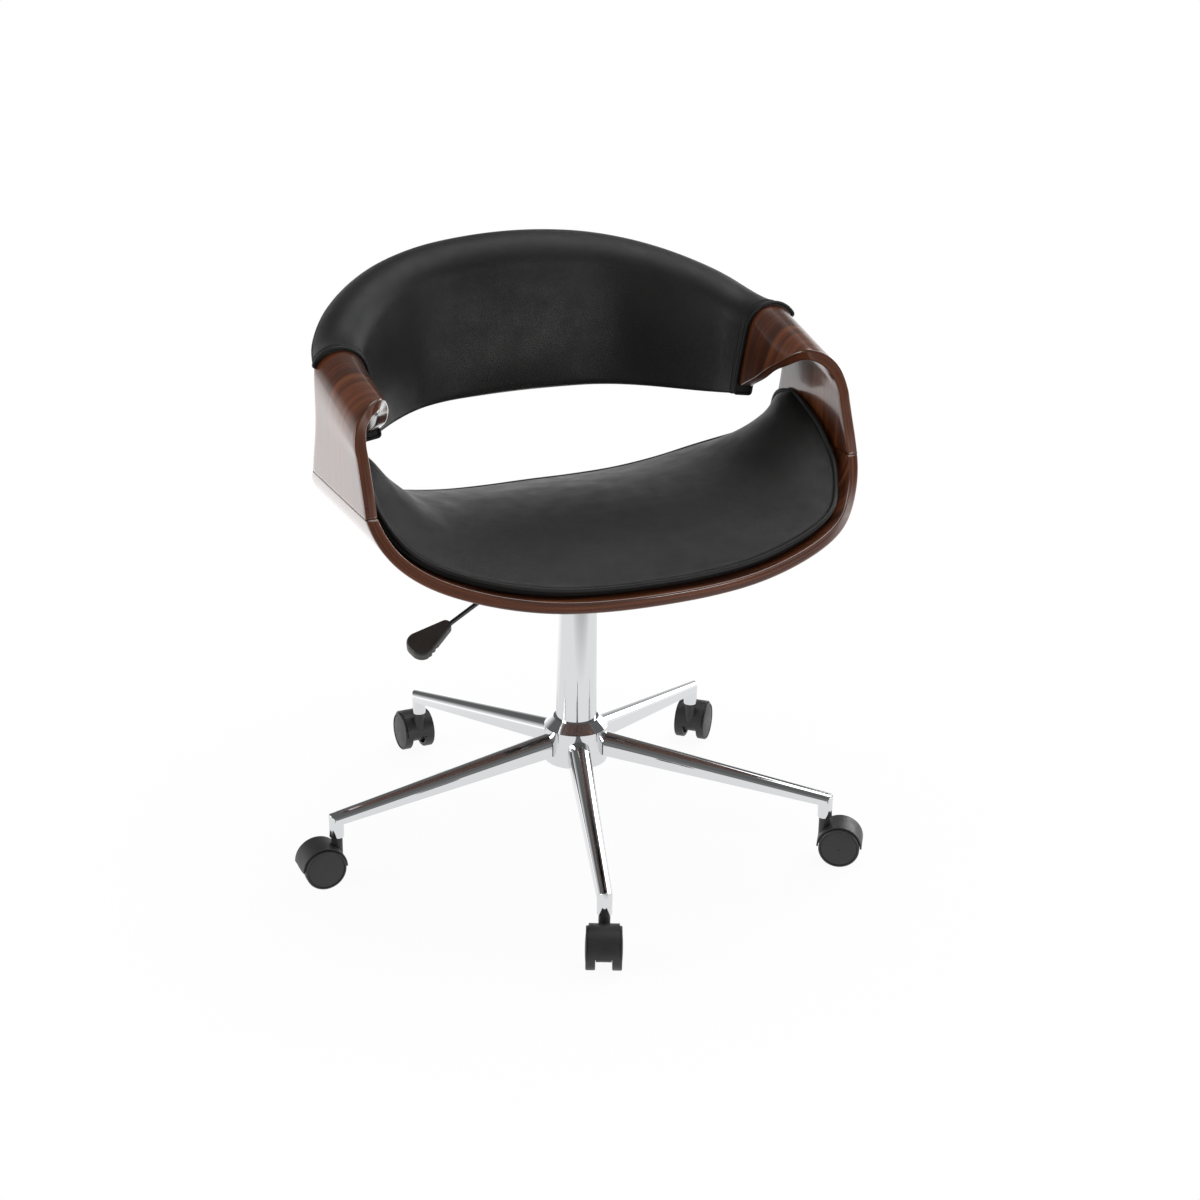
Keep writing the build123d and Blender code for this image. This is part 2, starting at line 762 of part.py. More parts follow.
def shell_stations():
    """Stations of the shell's outer face from the middle to the top of the side wall."""
    rows = []
    for share, front, rear in shell_flat_edges:
        rows.append((shell_flat_half * share, shell_bottom, 0, front, rear))
    for share, front, rear in shell_wide_edges:
        slope = shell_wide_angle * share
        x = shell_flat_half + shell_wide_radius * sin(radians(slope))
        z = shell_bottom + shell_wide_radius * (1 - cos(radians(slope)))
        rows.append((x, z, slope, front, rear))
    for share, front, rear in shell_tight_edges:
        slope = shell_wide_angle + (90 - shell_wide_angle) * share
        x = tight_centre_x + tight_radius * sin(radians(slope))
        z = tight_centre_z - tight_radius * cos(radians(slope))
        rows.append((x, z, slope, front, rear))
    return rows


def both_sides(rows):
    """The right-hand rows mirrored onto the left, from the left end to the right end."""
    left = [(-1, row) for row in reversed(rows[1:])]
    return left + [(1, row) for row in rows]


right_half = shell_stations()
lap_top = seam_height + lap_height
seam_front, seam_rear = right_half[-1][3:]
tongue_front = seam_front + tongue_front_inset
tongue_rear = seam_rear - tongue_rear_inset
right_half.append((shell_half_width, lap_top, 90, tongue_front, tongue_rear))
lap_face = shell_half_width - ply / 2
with BuildPart() as seat_shell:
    sections = []
    for side, (x, z, slope, front, rear) in both_sides(right_half):
        inward = (-side * sin(radians(slope)), 0, cos(radians(slope)))
        sections.append(sheet_section((side * x, front, z), (side * x, rear, z), inward, ply, 0, ply_easing))
    loft(sections)
    for side in (-1, 1):
        with BuildSketch(Plane.XY.offset(seam_height)):
            with Locations((side * (lap_face + ply), 0)):
                Rectangle(2 * ply, 2 * shell_half_width)
        extrude(amount=2 * lap_height, mode=Mode.SUBTRACT)
    with BuildSketch(Plane.XY.offset(shell_bottom - ply)):
        with GridLocations(2 * bolt_half_spacing_x, 2 * bolt_half_spacing_y, 2, 2):
            Circle(nut_barrel_radius + press_gap)
    extrude(amount=3 * ply, mode=Mode.SUBTRACT)
    with BuildSketch(Plane.XY.offset(nut_flange_under)):
        with GridLocations(2 * bolt_half_spacing_x, 2 * bolt_half_spacing_y, 2, 2):
            Circle(nut_flange_radius + press_gap)
    extrude(amount=ply, mode=Mode.SUBTRACT)
seat_shell.part.label = "seat_shell"
export_step(seat_shell.part, "parts/seat_shell.step")


def arm_sections(grow, rounding):
    """Sections of the right arm from the seam over the roll and down the flap, grown for a pocket."""
    wall = shell_half_width + grow
    thickness = ply + 2 * grow
    rows = [((wall, seam_front, seam_height), (wall, seam_rear, seam_height), (-1, 0, 0))]
    for front_y, front_z, rear_y, rear_z in arm_wall_edges:
        rows.append(((wall, front_y, front_z), (wall, rear_y, rear_z), (-1, 0, 0)))
    for turn, front_y, rear_y in arm_roll_edges:
        across, up = cos(radians(turn)), sin(radians(turn))
        front_x = shell_half_width - roll_front_radius * (1 - across) + grow * across
        rear_x = shell_half_width - roll_rear_radius * (1 - across) + grow * across
        front = (front_x, front_y, roll_front_height + roll_front_radius * up + grow * up)
        rear = (rear_x, rear_y, roll_rear_height + roll_rear_radius * up + grow * up)
        rows.append((front, rear, (-across, 0, -up)))
    for index, (front_inset, front_y, front_z, rear_inset, rear_z) in enumerate(arm_flap_edges):
        turn = min(90 + 30 * (index + 1), 180 - flap_lean)
        across, up = cos(radians(turn)), sin(radians(turn))
        front = (shell_half_width - front_inset + grow * across, front_y, front_z + grow * up)
        rear = (shell_half_width - rear_inset + grow * across, arm_tail, rear_z + grow * up)
        rows.append((front, rear, (-across, 0, -up)))
    sections = []
    for front, rear, inward in rows:
        stretch = (Vector(*rear) - Vector(*front)).normalized() * grow
        ends = (Vector(*front) - stretch, Vector(*rear) + stretch)
        sections.append(sheet_section(*ends, inward, thickness, rounding, 0))
    return sections


with BuildPart() as right_arm:
    loft(arm_sections(0, ply_edge))
    with BuildSketch(Plane.XY.offset(seam_height - lap_height)):
        with Locations((lap_face - ply, 0)):
            Rectangle(2 * ply, 2 * shell_half_width)
    extrude(amount=2 * lap_height, mode=Mode.SUBTRACT)
    with BuildSketch(Plane.XY.offset(seam_height)):
        with Locations((shell_half_width, 0)):
            Rectangle(4 * ply, 2 * shell_half_width)
    extrude(amount=-lap_height, mode=Mode.SUBTRACT)
right_arm.part.label = "right_arm"
export_step(right_arm.part, "parts/right_arm.step")

with BuildPart() as left_arm:
    add(right_arm.part)
    mirror(about=Plane.YZ, mode=Mode.REPLACE)
left_arm.part.label = "left_arm"
export_step(left_arm.part, "parts/left_arm.step")


def cushion_section(origin, inward, front, rear, thickness):
    """Crowned section of the cushion, standing on the shell's inner face, with drawn-in ends."""
    front_edge = min(cushion_front_edge, thickness * cushion_edge_share)
    rear_edge = min(cushion_rear_edge, thickness * cushion_edge_share)
    front_end = front + front_edge * cushion_bulge_share
    rear_end = rear - rear_edge * cushion_bulge_share
    plane = Plane(origin=origin, x_dir=(0, 1, 0), z_dir=Vector(0, 1, 0).cross(Vector(*inward)))
    with BuildSketch(plane) as section:
        with BuildLine():
            Line((front_end, cushion_gap), (rear_end, cushion_gap))
            Line((rear_end, cushion_gap), (rear, rear_edge / 2))
            Line((rear, rear_edge / 2), (rear_end, rear_edge))
            ThreePointArc((rear_end, rear_edge), ((front + rear) / 2, thickness), (front_end, front_edge))
            Line((front_end, front_edge), (front, front_edge / 2))
            Line((front, front_edge / 2), (front_end, cushion_gap))
        make_face()
    return section.sketch


cushion_rows = []
for (x, z, slope, front, rear), setbacks in zip(right_half, cushion_shell_rows):
    front_setback, rear_setback, lean, thickness = setbacks
    inner_x = x - ply * sin(radians(slope))
    inner_z = z + ply * cos(radians(slope))
    cushion_rows.append((inner_x, inner_z, lean, front + front_setback, rear - rear_setback, thickness))
for rise, front, rear, lean, thickness in cushion_lobe_rows:
    cushion_rows.append((shell_half_width - ply, seam_height + rise, lean, front, rear, thickness))
with BuildPart() as seat_cushion:
    sections = []
    for side, (x, z, lean, front, rear, thickness) in both_sides(cushion_rows):
        inward = (-side * sin(radians(lean)), 0, cos(radians(lean)))
        sections.append(cushion_section((side * x, 0, z), inward, front, rear, thickness))
    loft(sections)
seat_cushion.part.label = "seat_cushion"
export_step(seat_cushion.part, "parts/seat_cushion.step")


def pad_lean(share):
    """Lean of the back from upright, in radians, from the hem (0) to the middle (1)."""
    return radians(pad_hem_lean + (pad_middle_lean - pad_hem_lean) * share)


def pad_plane(side, row):
    """Upright plane of a section, with X outwards and Y up from the lower front edge."""
    inset, y, z, heading = row[:4]
    outward = Vector(side * cos(radians(heading)), sin(radians(heading)), 0)
    origin = (side * (shell_half_width - inset), y, z)
    return Plane(origin=origin, x_dir=outward, z_dir=outward.cross(Vector(0, 0, 1)))


def pad_straight(row, share):
    """Length of the front face below the roll."""
    z, top, roll = row[2], row[4], row[5]
    lean = pad_lean(share)
    return (top - z - roll * (1 - sin(lean))) / cos(lean)


def pad_section(side, row, share):
    """Section of the back pad: a crowned front, a roll over the top and an eased lip behind."""
    roll, turn, thickness = row[5:]
    lean = pad_lean(share)
    along = Vector(sin(lean), cos(lean))
    back = Vector(cos(lean), -sin(lean))
    tip = lean + radians(turn)
    half = lean + radians(turn / 2)
    end = Vector(-cos(tip), sin(tip))
    middle = Vector(-cos(half), sin(half))
    shoulder = along * pad_straight(row, share)
    centre = shoulder + back * roll
    hollow = roll - thickness
    crown = pad_hem_crown + (pad_crown - pad_hem_crown) * share
    rounding = pad_hem_rounding + (pad_rounding - pad_hem_rounding) * share
    foot = Vector(0, 0)
    heel = back * thickness
    lip_outer = centre + end * roll
    lip_inner = centre + end * hollow
    with BuildSketch(pad_plane(side, row)) as section:
        with BuildLine():
            Line(heel, foot)
            ThreePointArc(foot, shoulder / 2 - back * crown, shoulder)
            ThreePointArc(shoulder, centre + middle * roll, lip_outer)
            Line(lip_outer, lip_inner)
            ThreePointArc(lip_inner, centre + middle * hollow, shoulder + heel)
            Line(shoulder + heel, heel)
        make_face()
        for corner in (foot, heel, lip_outer, lip_inner):
            chamfer(section.vertices().sort_by_distance(corner)[0], length=thickness * rounding)
    return section.sketch


def core_section(side, row, share, grow):
    """Section of the plywood core in the middle of the pad's thickness, grown all round for a pocket."""
    lean = pad_lean(share)
    length = pad_straight(row, share) - core_foot
    centre = core_foot + length / 2
    with BuildSketch(pad_plane(side, row)) as section:
        middle = Vector(sin(lean), cos(lean)) * centre + Vector(cos(lean), -sin(lean)) * (row[7] / 2)
        with Locations(Location((middle.X, middle.Y), -degrees(lean))):
            Rectangle(core_ply + 2 * grow, length + 2 * grow)
    return section.sketch


pad_rows = [(index / (len(pad_sections) - 1), row) for index, row in enumerate(pad_sections)]
pad_rows.reverse()


def core_loft_sections(grow):
    """Sections of the core, which starts behind the arms' tails."""
    kept = pad_rows[: len(pad_rows) - core_first]
    return [core_section(side, row, share, grow) for side, (share, row) in both_sides(kept)]


with BuildPart() as back_panel:
    loft(core_loft_sections(0))
back_panel.part.label = "back_panel"
export_step(back_panel.part, "parts/back_panel.step")

with BuildPart() as arm_pocket:
    loft(arm_sections(rest_gap, 0))

with BuildPart() as back_pad:
    loft([pad_section(side, row, share) for side, (share, row) in both_sides(pad_rows)])
    loft(core_loft_sections(rest_gap), mode=Mode.SUBTRACT)
    add(arm_pocket.part, mode=Mode.SUBTRACT)
    add(mirror(arm_pocket.part, about=Plane.YZ, mode=Mode.PRIVATE), mode=Mode.SUBTRACT)
back_pad.part.label = "back_pad"
export_step(back_pad.part, "parts/back_pad.step")
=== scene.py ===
import bmesh
import bpy
import json
import numpy as np
from math import cos, pi, radians, sin
from mathutils import Matrix, Vector
from mathutils.bvhtree import BVHTree


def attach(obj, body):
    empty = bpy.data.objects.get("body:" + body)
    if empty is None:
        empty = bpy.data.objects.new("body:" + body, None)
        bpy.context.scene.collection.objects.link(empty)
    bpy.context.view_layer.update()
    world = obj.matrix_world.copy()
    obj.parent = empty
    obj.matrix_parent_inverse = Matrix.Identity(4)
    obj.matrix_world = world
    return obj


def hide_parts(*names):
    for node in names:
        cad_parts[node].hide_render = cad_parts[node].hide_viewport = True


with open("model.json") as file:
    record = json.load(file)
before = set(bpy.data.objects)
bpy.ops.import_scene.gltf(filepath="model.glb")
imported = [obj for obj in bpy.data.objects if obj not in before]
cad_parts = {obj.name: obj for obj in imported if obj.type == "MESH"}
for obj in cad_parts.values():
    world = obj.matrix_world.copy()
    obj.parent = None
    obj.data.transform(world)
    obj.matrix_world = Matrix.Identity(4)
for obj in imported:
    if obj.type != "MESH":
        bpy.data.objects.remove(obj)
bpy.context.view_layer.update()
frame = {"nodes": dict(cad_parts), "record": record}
nodes = frame["nodes"]
print("frame loaded:", len(nodes), "solids")


def meshObject(name, points, faces, smooth=True):
    mesh = bpy.data.meshes.new(name)
    mesh.from_pydata([tuple(p) for p in points], [], faces)
    mesh.validate()
    if smooth:
        mesh.polygons.foreach_set("use_smooth", [True] * len(mesh.polygons))
    piece = bpy.data.objects.new(name, mesh)
    bpy.context.scene.collection.objects.link(piece)
    return piece


def evaluatedMesh(piece, name):
    graph = bpy.context.evaluated_depsgraph_get()
    mesh = bpy.data.meshes.new_from_object(piece.evaluated_get(graph), depsgraph=graph)
    mesh.name = name
    return mesh


def bakeModifiers(piece):
    mesh = evaluatedMesh(piece, piece.name)
    piece.modifiers.clear()
    old = piece.data
    piece.data = mesh
    bpy.data.meshes.remove(old)


def fixNormals(piece):
    work = bmesh.new()
    work.from_mesh(piece.data)
    bmesh.ops.remove_doubles(work, verts=work.verts, dist=1e-6)
    bmesh.ops.recalc_face_normals(work, faces=work.faces)
    for face in work.faces:
        face.smooth = len(face.verts) < 5          # end caps stay flat
    work.to_mesh(piece.data)
    work.free()


def skinObject(name, skin):
    # closed piece from rings of points, with a flat cap at both ends
    count, around = skin.shape[:2]
    faces = gridFaces(count, around)
    faces.append(tuple(range(around))[::-1])
    faces.append(tuple(range((count - 1) * around, count * around)))
    piece = meshObject(name, skin.reshape(-1, 3), faces)
    fixNormals(piece)
    return piece


def coordinates(mesh):
    flat = np.zeros(len(mesh.vertices) * 3)
    mesh.vertices.foreach_get("co", flat)
    return flat.reshape(-1, 3)


def putCoordinates(mesh, points):
    mesh.vertices.foreach_set("co", np.asarray(points, float).ravel())
    mesh.update()


def vertexNormals(mesh):
    flat = np.zeros(len(mesh.vertices) * 3)
    mesh.vertex_normals.foreach_get("vector", flat)
    return flat.reshape(-1, 3)


def splineRows(rows, count):
    # smooth rows of points through the given rows, spaced by their mean distance
    rows = np.asarray(rows, float)
    steps = np.linalg.norm(np.diff(rows, axis=0), axis=2).mean(1)
    knots = np.concatenate([[0], np.cumsum(steps)])
    tangents = np.zeros_like(rows)
    for i in range(1, len(rows) - 1):
        before, after = knots[i] - knots[i - 1], knots[i + 1] - knots[i]
        slopeIn = (rows[i] - rows[i - 1]) / before
        slopeOut = (rows[i + 1] - rows[i]) / after
        tangents[i] = (slopeIn * after + slopeOut * before) / (before + after)
    tangents[0] = (rows[1] - rows[0]) / (knots[1] - knots[0])
    tangents[-1] = (rows[-1] - rows[-2]) / (knots[-1] - knots[-2])
    made = []
    for t in np.linspace(0, knots[-1], count):
        i = min(max(np.searchsorted(knots, t, side="right") - 1, 0), len(rows) - 2)
        span = knots[i + 1] - knots[i]
        u = (t - knots[i]) / span
        h00, h10 = 2 * u**3 - 3 * u**2 + 1, u**3 - 2 * u**2 + u
        h01, h11 = -2 * u**3 + 3 * u**2, u**3 - u**2
        made.append(h00 * rows[i] + h10 * span * tangents[i] + h01 * rows[i + 1] + h11 * span * tangents[i + 1])
    return np.array(made)


def smoothRows(rows, spread):
    # evens out rows of points along their run, with both ends kept
    reach = int(3 * spread)
    head = 2 * rows[0] - rows[reach:0:-1]
    tail = 2 * rows[-1] - rows[-2:-reach - 2:-1]
    long = np.concatenate([head, rows, tail])
    weights = np.exp(-0.5 * (np.arange(-reach, reach + 1) / spread) ** 2)
    weights /= weights.sum()
    return sum(w * long[k:k + len(rows)] for k, w in enumerate(weights))


def evenPoints(points, count):
    points = np.asarray(points, float)
    along = np.concatenate([[0], np.cumsum(np.linalg.norm(np.diff(points, axis=0), axis=1))])
    wanted = np.linspace(0, along[-1], count)
    return np.stack([np.interp(wanted, along, points[:, k]) for k in range(points.shape[1])], -1)


def arcThrough(a, b, c, count):
    a, b, c = (np.asarray(p, float) for p in (a, b, c))
    d = 2 * (a[0] * (b[1] - c[1]) + b[0] * (c[1] - a[1]) + c[0] * (a[1] - b[1]))
    if abs(d) < 1e-12:
        return np.linspace(a, c, count)
    x = (a @ a * (b[1] - c[1]) + b @ b * (c[1] - a[1]) + c @ c * (a[1] - b[1])) / d
    y = (a @ a * (c[0] - b[0]) + b @ b * (a[0] - c[0]) + c @ c * (b[0] - a[0])) / d
    middle = np.array([x, y])
    radius = np.linalg.norm(a - middle)
    turns = np.unwrap([np.arctan2(p[1] - y, p[0] - x) for p in (a, b, c)])
    half = count // 2
    angles = np.concatenate([np.linspace(turns[0], turns[1], half, endpoint=False),
                             np.linspace(turns[1], turns[2], count - half)])
    return middle + radius * np.stack([np.cos(angles), np.sin(angles)], -1)


def pathObject(name, loops, closed):
    curve = bpy.data.curves.new(name + "Path", "CURVE")
    curve.dimensions = "3D"
    for loop in loops:
        line = curve.splines.new("POLY")
        line.points.add(len(loop) - 1)
        for place, point in zip(line.points, loop):
            place.co = (*point, 1)
        line.use_cyclic_u = closed
    holder = bpy.data.objects.new(name + "Path", curve)
    bpy.context.scene.collection.objects.link(holder)
    return holder


def meshFromPath(name, holder):
    mesh = evaluatedMesh(holder, name)
    curve = holder.data
    bpy.data.objects.remove(holder)
    bpy.data.curves.remove(curve)
    piece = bpy.data.objects.new(name, mesh)
    bpy.context.scene.collection.objects.link(piece)
    return piece


def tubeAlong(name, points, radius, closed=False, sides=10):
    holder = pathObject(name, [points], closed)
    holder.data.bevel_depth = radius
    holder.data.bevel_resolution = max(1, sides // 4)
    holder.data.use_fill_caps = not closed
    piece = meshFromPath(name, holder)
    piece.data.polygons.foreach_set("use_smooth", [True] * len(piece.data.polygons))
    fixNormals(piece)
    return piece


def gridFaces(rows, columns):
    # faces between closed rings of points
    faces = []
    for i in range(rows - 1):
        for j in range(columns):
            k = (j + 1) % columns
            faces.append((i * columns + j, i * columns + k, (i + 1) * columns + k, (i + 1) * columns + j))
    return faces


def gathered(pieces):
    points, faces = [], []
    for piece in pieces:
        start = len(points)
        points.extend(v.co.copy() for v in piece.data.vertices)
        faces.extend([start + i for i in p.vertices] for p in piece.data.polygons)
    return points, faces


def surfaceTree(*pieces):
    return BVHTree.FromPolygons(*gathered(pieces))


noiseSpan = (0.3, 0.7)       # where most values of a noise lie


def newFinish(name):
    finish = bpy.data.materials.new(name)
    finish.use_nodes = True
    tree = finish.node_tree
    shader = tree.nodes["Principled BSDF"]
    return finish, tree, shader


def addNode(tree, kind, **values):
    node = tree.nodes.new(kind)
    for key, value in values.items():
        setattr(node, key, value)
    return node


def objectSpace(tree):
    return addNode(tree, "ShaderNodeTexCoord").outputs["Object"]


def noiseNode(tree, vector, scale, detail=4.0, roughness=0.55, distortion=0.0):
    node = addNode(tree, "ShaderNodeTexNoise")
    node.inputs["Scale"].default_value = scale
    node.inputs["Detail"].default_value = detail
    node.inputs["Roughness"].default_value = roughness
    node.inputs["Distortion"].default_value = distortion
    tree.links.new(vector, node.inputs["Vector"])
    return node.outputs["Fac"]


def rampNode(tree, source, stops):
    node = addNode(tree, "ShaderNodeValToRGB")
    elements = node.color_ramp.elements
    while len(elements) < len(stops):
        elements.new(0.5)
    for element, (place, colour) in zip(elements, stops):
        element.position = place
        element.color = (*colour, 1)
    tree.links.new(source, node.inputs["Fac"])
    return node.outputs["Color"]


def rangeNode(tree, source, low, high, fromLow=0.0, fromHigh=1.0):
    node = addNode(tree, "ShaderNodeMapRange")
    node.inputs["From Min"].default_value = fromLow
    node.inputs["From Max"].default_value = fromHigh
    node.inputs["To Min"].default_value = low
    node.inputs["To Max"].default_value = high
    tree.links.new(source, node.inputs["Value"])
    return node.outputs["Result"]


def mixColours(tree, amount, first, second):
    node = addNode(tree, "ShaderNodeMix", data_type="RGBA")
    for socket, value in (("Factor", amount), ("A", first), ("B", second)):
        target = [s for s in node.inputs if s.name == socket and s.enabled][0]
        if hasattr(value, "is_output"):
            tree.links.new(value, target)
        elif socket == "Factor":
            target.default_value = value
        else:
            target.default_value = (*value, 1)
    return [s for s in node.outputs if s.enabled][0]


def bumpNode(tree, shader, height, strength, distance, before=None):
    node = addNode(tree, "ShaderNodeBump")
    node.inputs["Strength"].default_value = strength
    node.inputs["Distance"].default_value = distance
    tree.links.new(height, node.inputs["Height"])
    if before is not None:
        tree.links.new(before.outputs["Normal"], node.inputs["Normal"])
    tree.links.new(node.outputs["Normal"], shader.inputs["Normal"])
    return node


leatherLook = {
    "dark": (0.0100, 0.0100, 0.0100),
    "light": (0.0165, 0.0164, 0.0160),
    "roughLow": 0.40,
    "roughHigh": 0.52,
    "shine": 0.27,
    "patchScale": 9.0,
    "sheenScale": 38.0,
    "grainScale": 620.0,     # cells per metre
    "grainReach": 0.22,
    "grainStrength": 0.35,
    "grainDepth": 0.00022,
    "creaseScale": 55.0,
    "creaseStrength": 0.25,
    "creaseDepth": 0.0009,
}


def makeLeather(name, look):
    finish, tree, shader = newFinish(name)
    here = objectSpace(tree)
    patches = noiseNode(tree, here, look["patchScale"], 5.0)
    colour = rampNode(tree, patches, tuple(zip(noiseSpan, (look["dark"], look["light"]))))
    tree.links.new(colour, shader.inputs["Base Color"])
    sheen = noiseNode(tree, here, look["sheenScale"], 6.0)
    rough = rangeNode(tree, sheen, look["roughLow"], look["roughHigh"], *noiseSpan)
    tree.links.new(rough, shader.inputs["Roughness"])
    shader.inputs["Specular IOR Level"].default_value = look["shine"]
    cells = addNode(tree, "ShaderNodeTexVoronoi", feature="DISTANCE_TO_EDGE")
    cells.inputs["Scale"].default_value = look["grainScale"]
    cells.inputs["Randomness"].default_value = 1.0
    tree.links.new(here, cells.inputs["Vector"])
    pebbles = rangeNode(tree, cells.outputs["Distance"], 0, 1, 0.0, look["grainReach"])
    folds = noiseNode(tree, here, look["creaseScale"], 4.0)
    creases = bumpNode(tree, shader, folds, look["creaseStrength"], look["creaseDepth"])
    bumpNode(tree, shader, pebbles, look["grainStrength"], look["grainDepth"], creases)
    return finish


walnutLook = {
    "dark": (0.020, 0.0062, 0.0032),
    "middle": (0.068, 0.0185, 0.0068),
    "red": (0.140, 0.0395, 0.0125),
    "streak": (0.300, 0.1000, 0.0310),
    "strip": (0.185, 0.0570, 0.0170),
    "bands": (1.6, 12.0, 12.0),        # waves per metre along, across and through the sheet
    "lines": (2.4, 70.0, 70.0),
    "pores": (22.0, 900.0, 900.0),
    "strips": (3.0, 0.0, 330.0),       # veneer strip along the sheet's edges
    "lineStops": (0.33, 0.46, 0.56, 0.70),
    "bandStops": (0.30, 0.52, 0.75),
    "stripStops": (0.28, 0.46, 0.62, 0.78),
    "bandShare": 0.45,
    "poreShare": 0.55,
    "poreFrom": 0.52,
    "poreTo": 0.72,
    "poreStrength": 0.12,
    "poreDepth": 0.0002,
    "roughLow": 0.30,
    "roughHigh": 0.42,
    "coatRough": 0.14,
    "coatIndex": 1.58,
    "shine": 0.2,
}


def makeWalnut(name, look):
    finish, tree, shader = newFinish(name)
    grain = addNode(tree, "ShaderNodeAttribute", attribute_name="grain")

    def waves(key, detail, roughness, distortion=0.0):
        mapping = addNode(tree, "ShaderNodeMapping")
        mapping.inputs["Scale"].default_value = look[key]
        tree.links.new(grain.outputs["Vector"], mapping.inputs["Vector"])
        return noiseNode(tree, mapping.outputs["Vector"], 1.0, detail, roughness, distortion)

    def coloured(source, stops, tones):
        return rampNode(tree, source, [(stop, look[tone]) for stop, tone in zip(look[stops], tones)])

    bands = waves("bands", 4.0, 0.55, 0.6)
    lines = waves("lines", 6.0, 0.6, 0.8)
    pores = waves("pores", 3.0, 0.6)
    base = coloured(lines, "lineStops", ("dark", "middle", "red", "streak"))
    wide = coloured(bands, "bandStops", ("dark", "middle", "red"))
    mixed = mixColours(tree, look["bandShare"], base, wide)
    poreAmount = rangeNode(tree, pores, 0.0, look["poreShare"], look["poreFrom"], look["poreTo"])
    pored = mixColours(tree, poreAmount, mixed, look["dark"])
    band = coloured(waves("strips", 5.0, 0.6, 0.4), "stripStops", ("dark", "middle", "red", "strip"))
    edge = addNode(tree, "ShaderNodeAttribute", attribute_name="edgeBand")
    tree.links.new(mixColours(tree, edge.outputs["Fac"], pored, band), shader.inputs["Base Color"])
    rough = rangeNode(tree, lines, look["roughLow"], look["roughHigh"], *noiseSpan)
    tree.links.new(rough, shader.inputs["Roughness"])
    shader.inputs["Coat Weight"].default_value = 1.0
    shader.inputs["Coat Roughness"].default_value = look["coatRough"]
    shader.inputs["Coat IOR"].default_value = look["coatIndex"]
    shader.inputs["Specular IOR Level"].default_value = look["shine"]
    bumpNode(tree, shader, pores, look["poreStrength"], look["poreDepth"])
    return finish


chromeLook = {"colour": (0.70, 0.71, 0.72), "scale": 26.0, "roughLow": 0.025, "roughHigh": 0.075}


def makeChrome(name, look):
    finish, tree, shader = newFinish(name)
    shader.inputs["Base Color"].default_value = (*look["colour"], 1)
    shader.inputs["Metallic"].default_value = 1.0
    haze = noiseNode(tree, objectSpace(tree), look["scale"], 4.0)
    rough = rangeNode(tree, haze, look["roughLow"], look["roughHigh"], *noiseSpan)
    tree.links.new(rough, shader.inputs["Roughness"])
    return finish


plainLook = {"dim": 0.72, "toneScale": 30.0, "roughScale": 60.0, "strength": 0.25}


def makePlain(name, look, colour, roughLow, roughHigh, grain=900.0, depth=0.00008, metallic=0.0):
    finish, tree, shader = newFinish(name)
    here = objectSpace(tree)
    dim = tuple(c * look["dim"] for c in colour)
    tone = rampNode(tree, noiseNode(tree, here, look["toneScale"], 4.0), tuple(zip(noiseSpan, (dim, colour))))
    tree.links.new(tone, shader.inputs["Base Color"])
    rough = rangeNode(tree, noiseNode(tree, here, look["roughScale"], 3.0), roughLow, roughHigh, *noiseSpan)
    tree.links.new(rough, shader.inputs["Roughness"])
    shader.inputs["Metallic"].default_value = metallic
    bumpNode(tree, shader, noiseNode(tree, here, grain, 2.0), look["strength"], depth)
    return finish


leather = makeLeather("blackLeather", leatherLook)
walnut = makeWalnut("walnutVeneer", walnutLook)
chrome = makeChrome("platedSteel", chromeLook)
casterPlastic = makePlain("casterPlastic", plainLook, (0.021, 0.021, 0.0215), 0.42, 0.55)
leverPlastic = makePlain("leverPlastic", plainLook, (0.034, 0.031, 0.029), 0.38, 0.50)
blackSteel = makePlain("blackSteel", plainLook, (0.014, 0.014, 0.015), 0.32, 0.45, 400.0, 0.00005)
plainSteel = makePlain("groundSteel", plainLook, (0.50, 0.50, 0.51), 0.22, 0.34, 300.0, 0.00003, 1.0)
rubber = makePlain("bumperRubber", plainLook, (0.02, 0.02, 0.02), 0.6, 0.75)
rawPly = makePlain("rawPly", plainLook, (0.42, 0.27, 0.15), 0.5, 0.65, 300.0, 0.0001)
threadFinish = makePlain("stitchThread", plainLook, (0.030, 0.030, 0.032), 0.45, 0.6, 2500.0, 0.00008)
# painted shade: near-black for the dark line in the hem seams' grooves; the nail filler spots use the same near-black
# as their own colour
seamShadeAndFiller = makePlain("seamShadeAndFiller", plainLook, (0.006, 0.005, 0.005), 0.6, 0.75)
slotFinish = {"chrome": chrome, "steel": plainSteel, "black_steel": blackSteel, "black_plastic": casterPlastic,
              "rubber": rubber, "walnut": walnut, "core_ply": rawPly, "leather": leather}
for entry in frame["record"]["subparts"]:
    solid = nodes[entry["node"]]
    chosen = leverPlastic if entry["node"] == "lever_handle" else slotFinish[entry["material_slot"]]
    solid.data.materials.clear()
    solid.data.materials.append(chosen)
print("finishes ready")


def finishPiece(piece, body, material, stands=()):
    piece.data.materials.clear()
    piece.data.materials.append(material)
    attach(piece, body)
    if stands:
        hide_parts(*stands)
    return piece


legShape = {                 # the CAD legs again, with an even skin for the plating
    "count": 5, "firstAngle": 180, "stemCircle": 0.312, "start": 0.0195, "hubRadius": 0.039, "tip": 0.321,
    "rootWidth": 0.028, "rootTop": 0.146, "rootBottom": 0.119,
    "tipWidth": 0.0175, "tipTop": 0.088, "tipBottom": 0.074, "wall": 0.002,
    "socketBottom": 0.058, "socketDepth": 0.026, "bore": 0.0058,
    "easing": 0.0006, "easedFrom": 40, "sharpFrom": 38, "rootSink": 0.0015, "tipSink": 0.00008,
    "archPoints": 33, "socketPoints": 48, "steps": 24, "centre": 0.00001,
    "tipRings": (1.0, 0.92, 0.8, 0.65, 0.45, 0.25, 0.01),
}


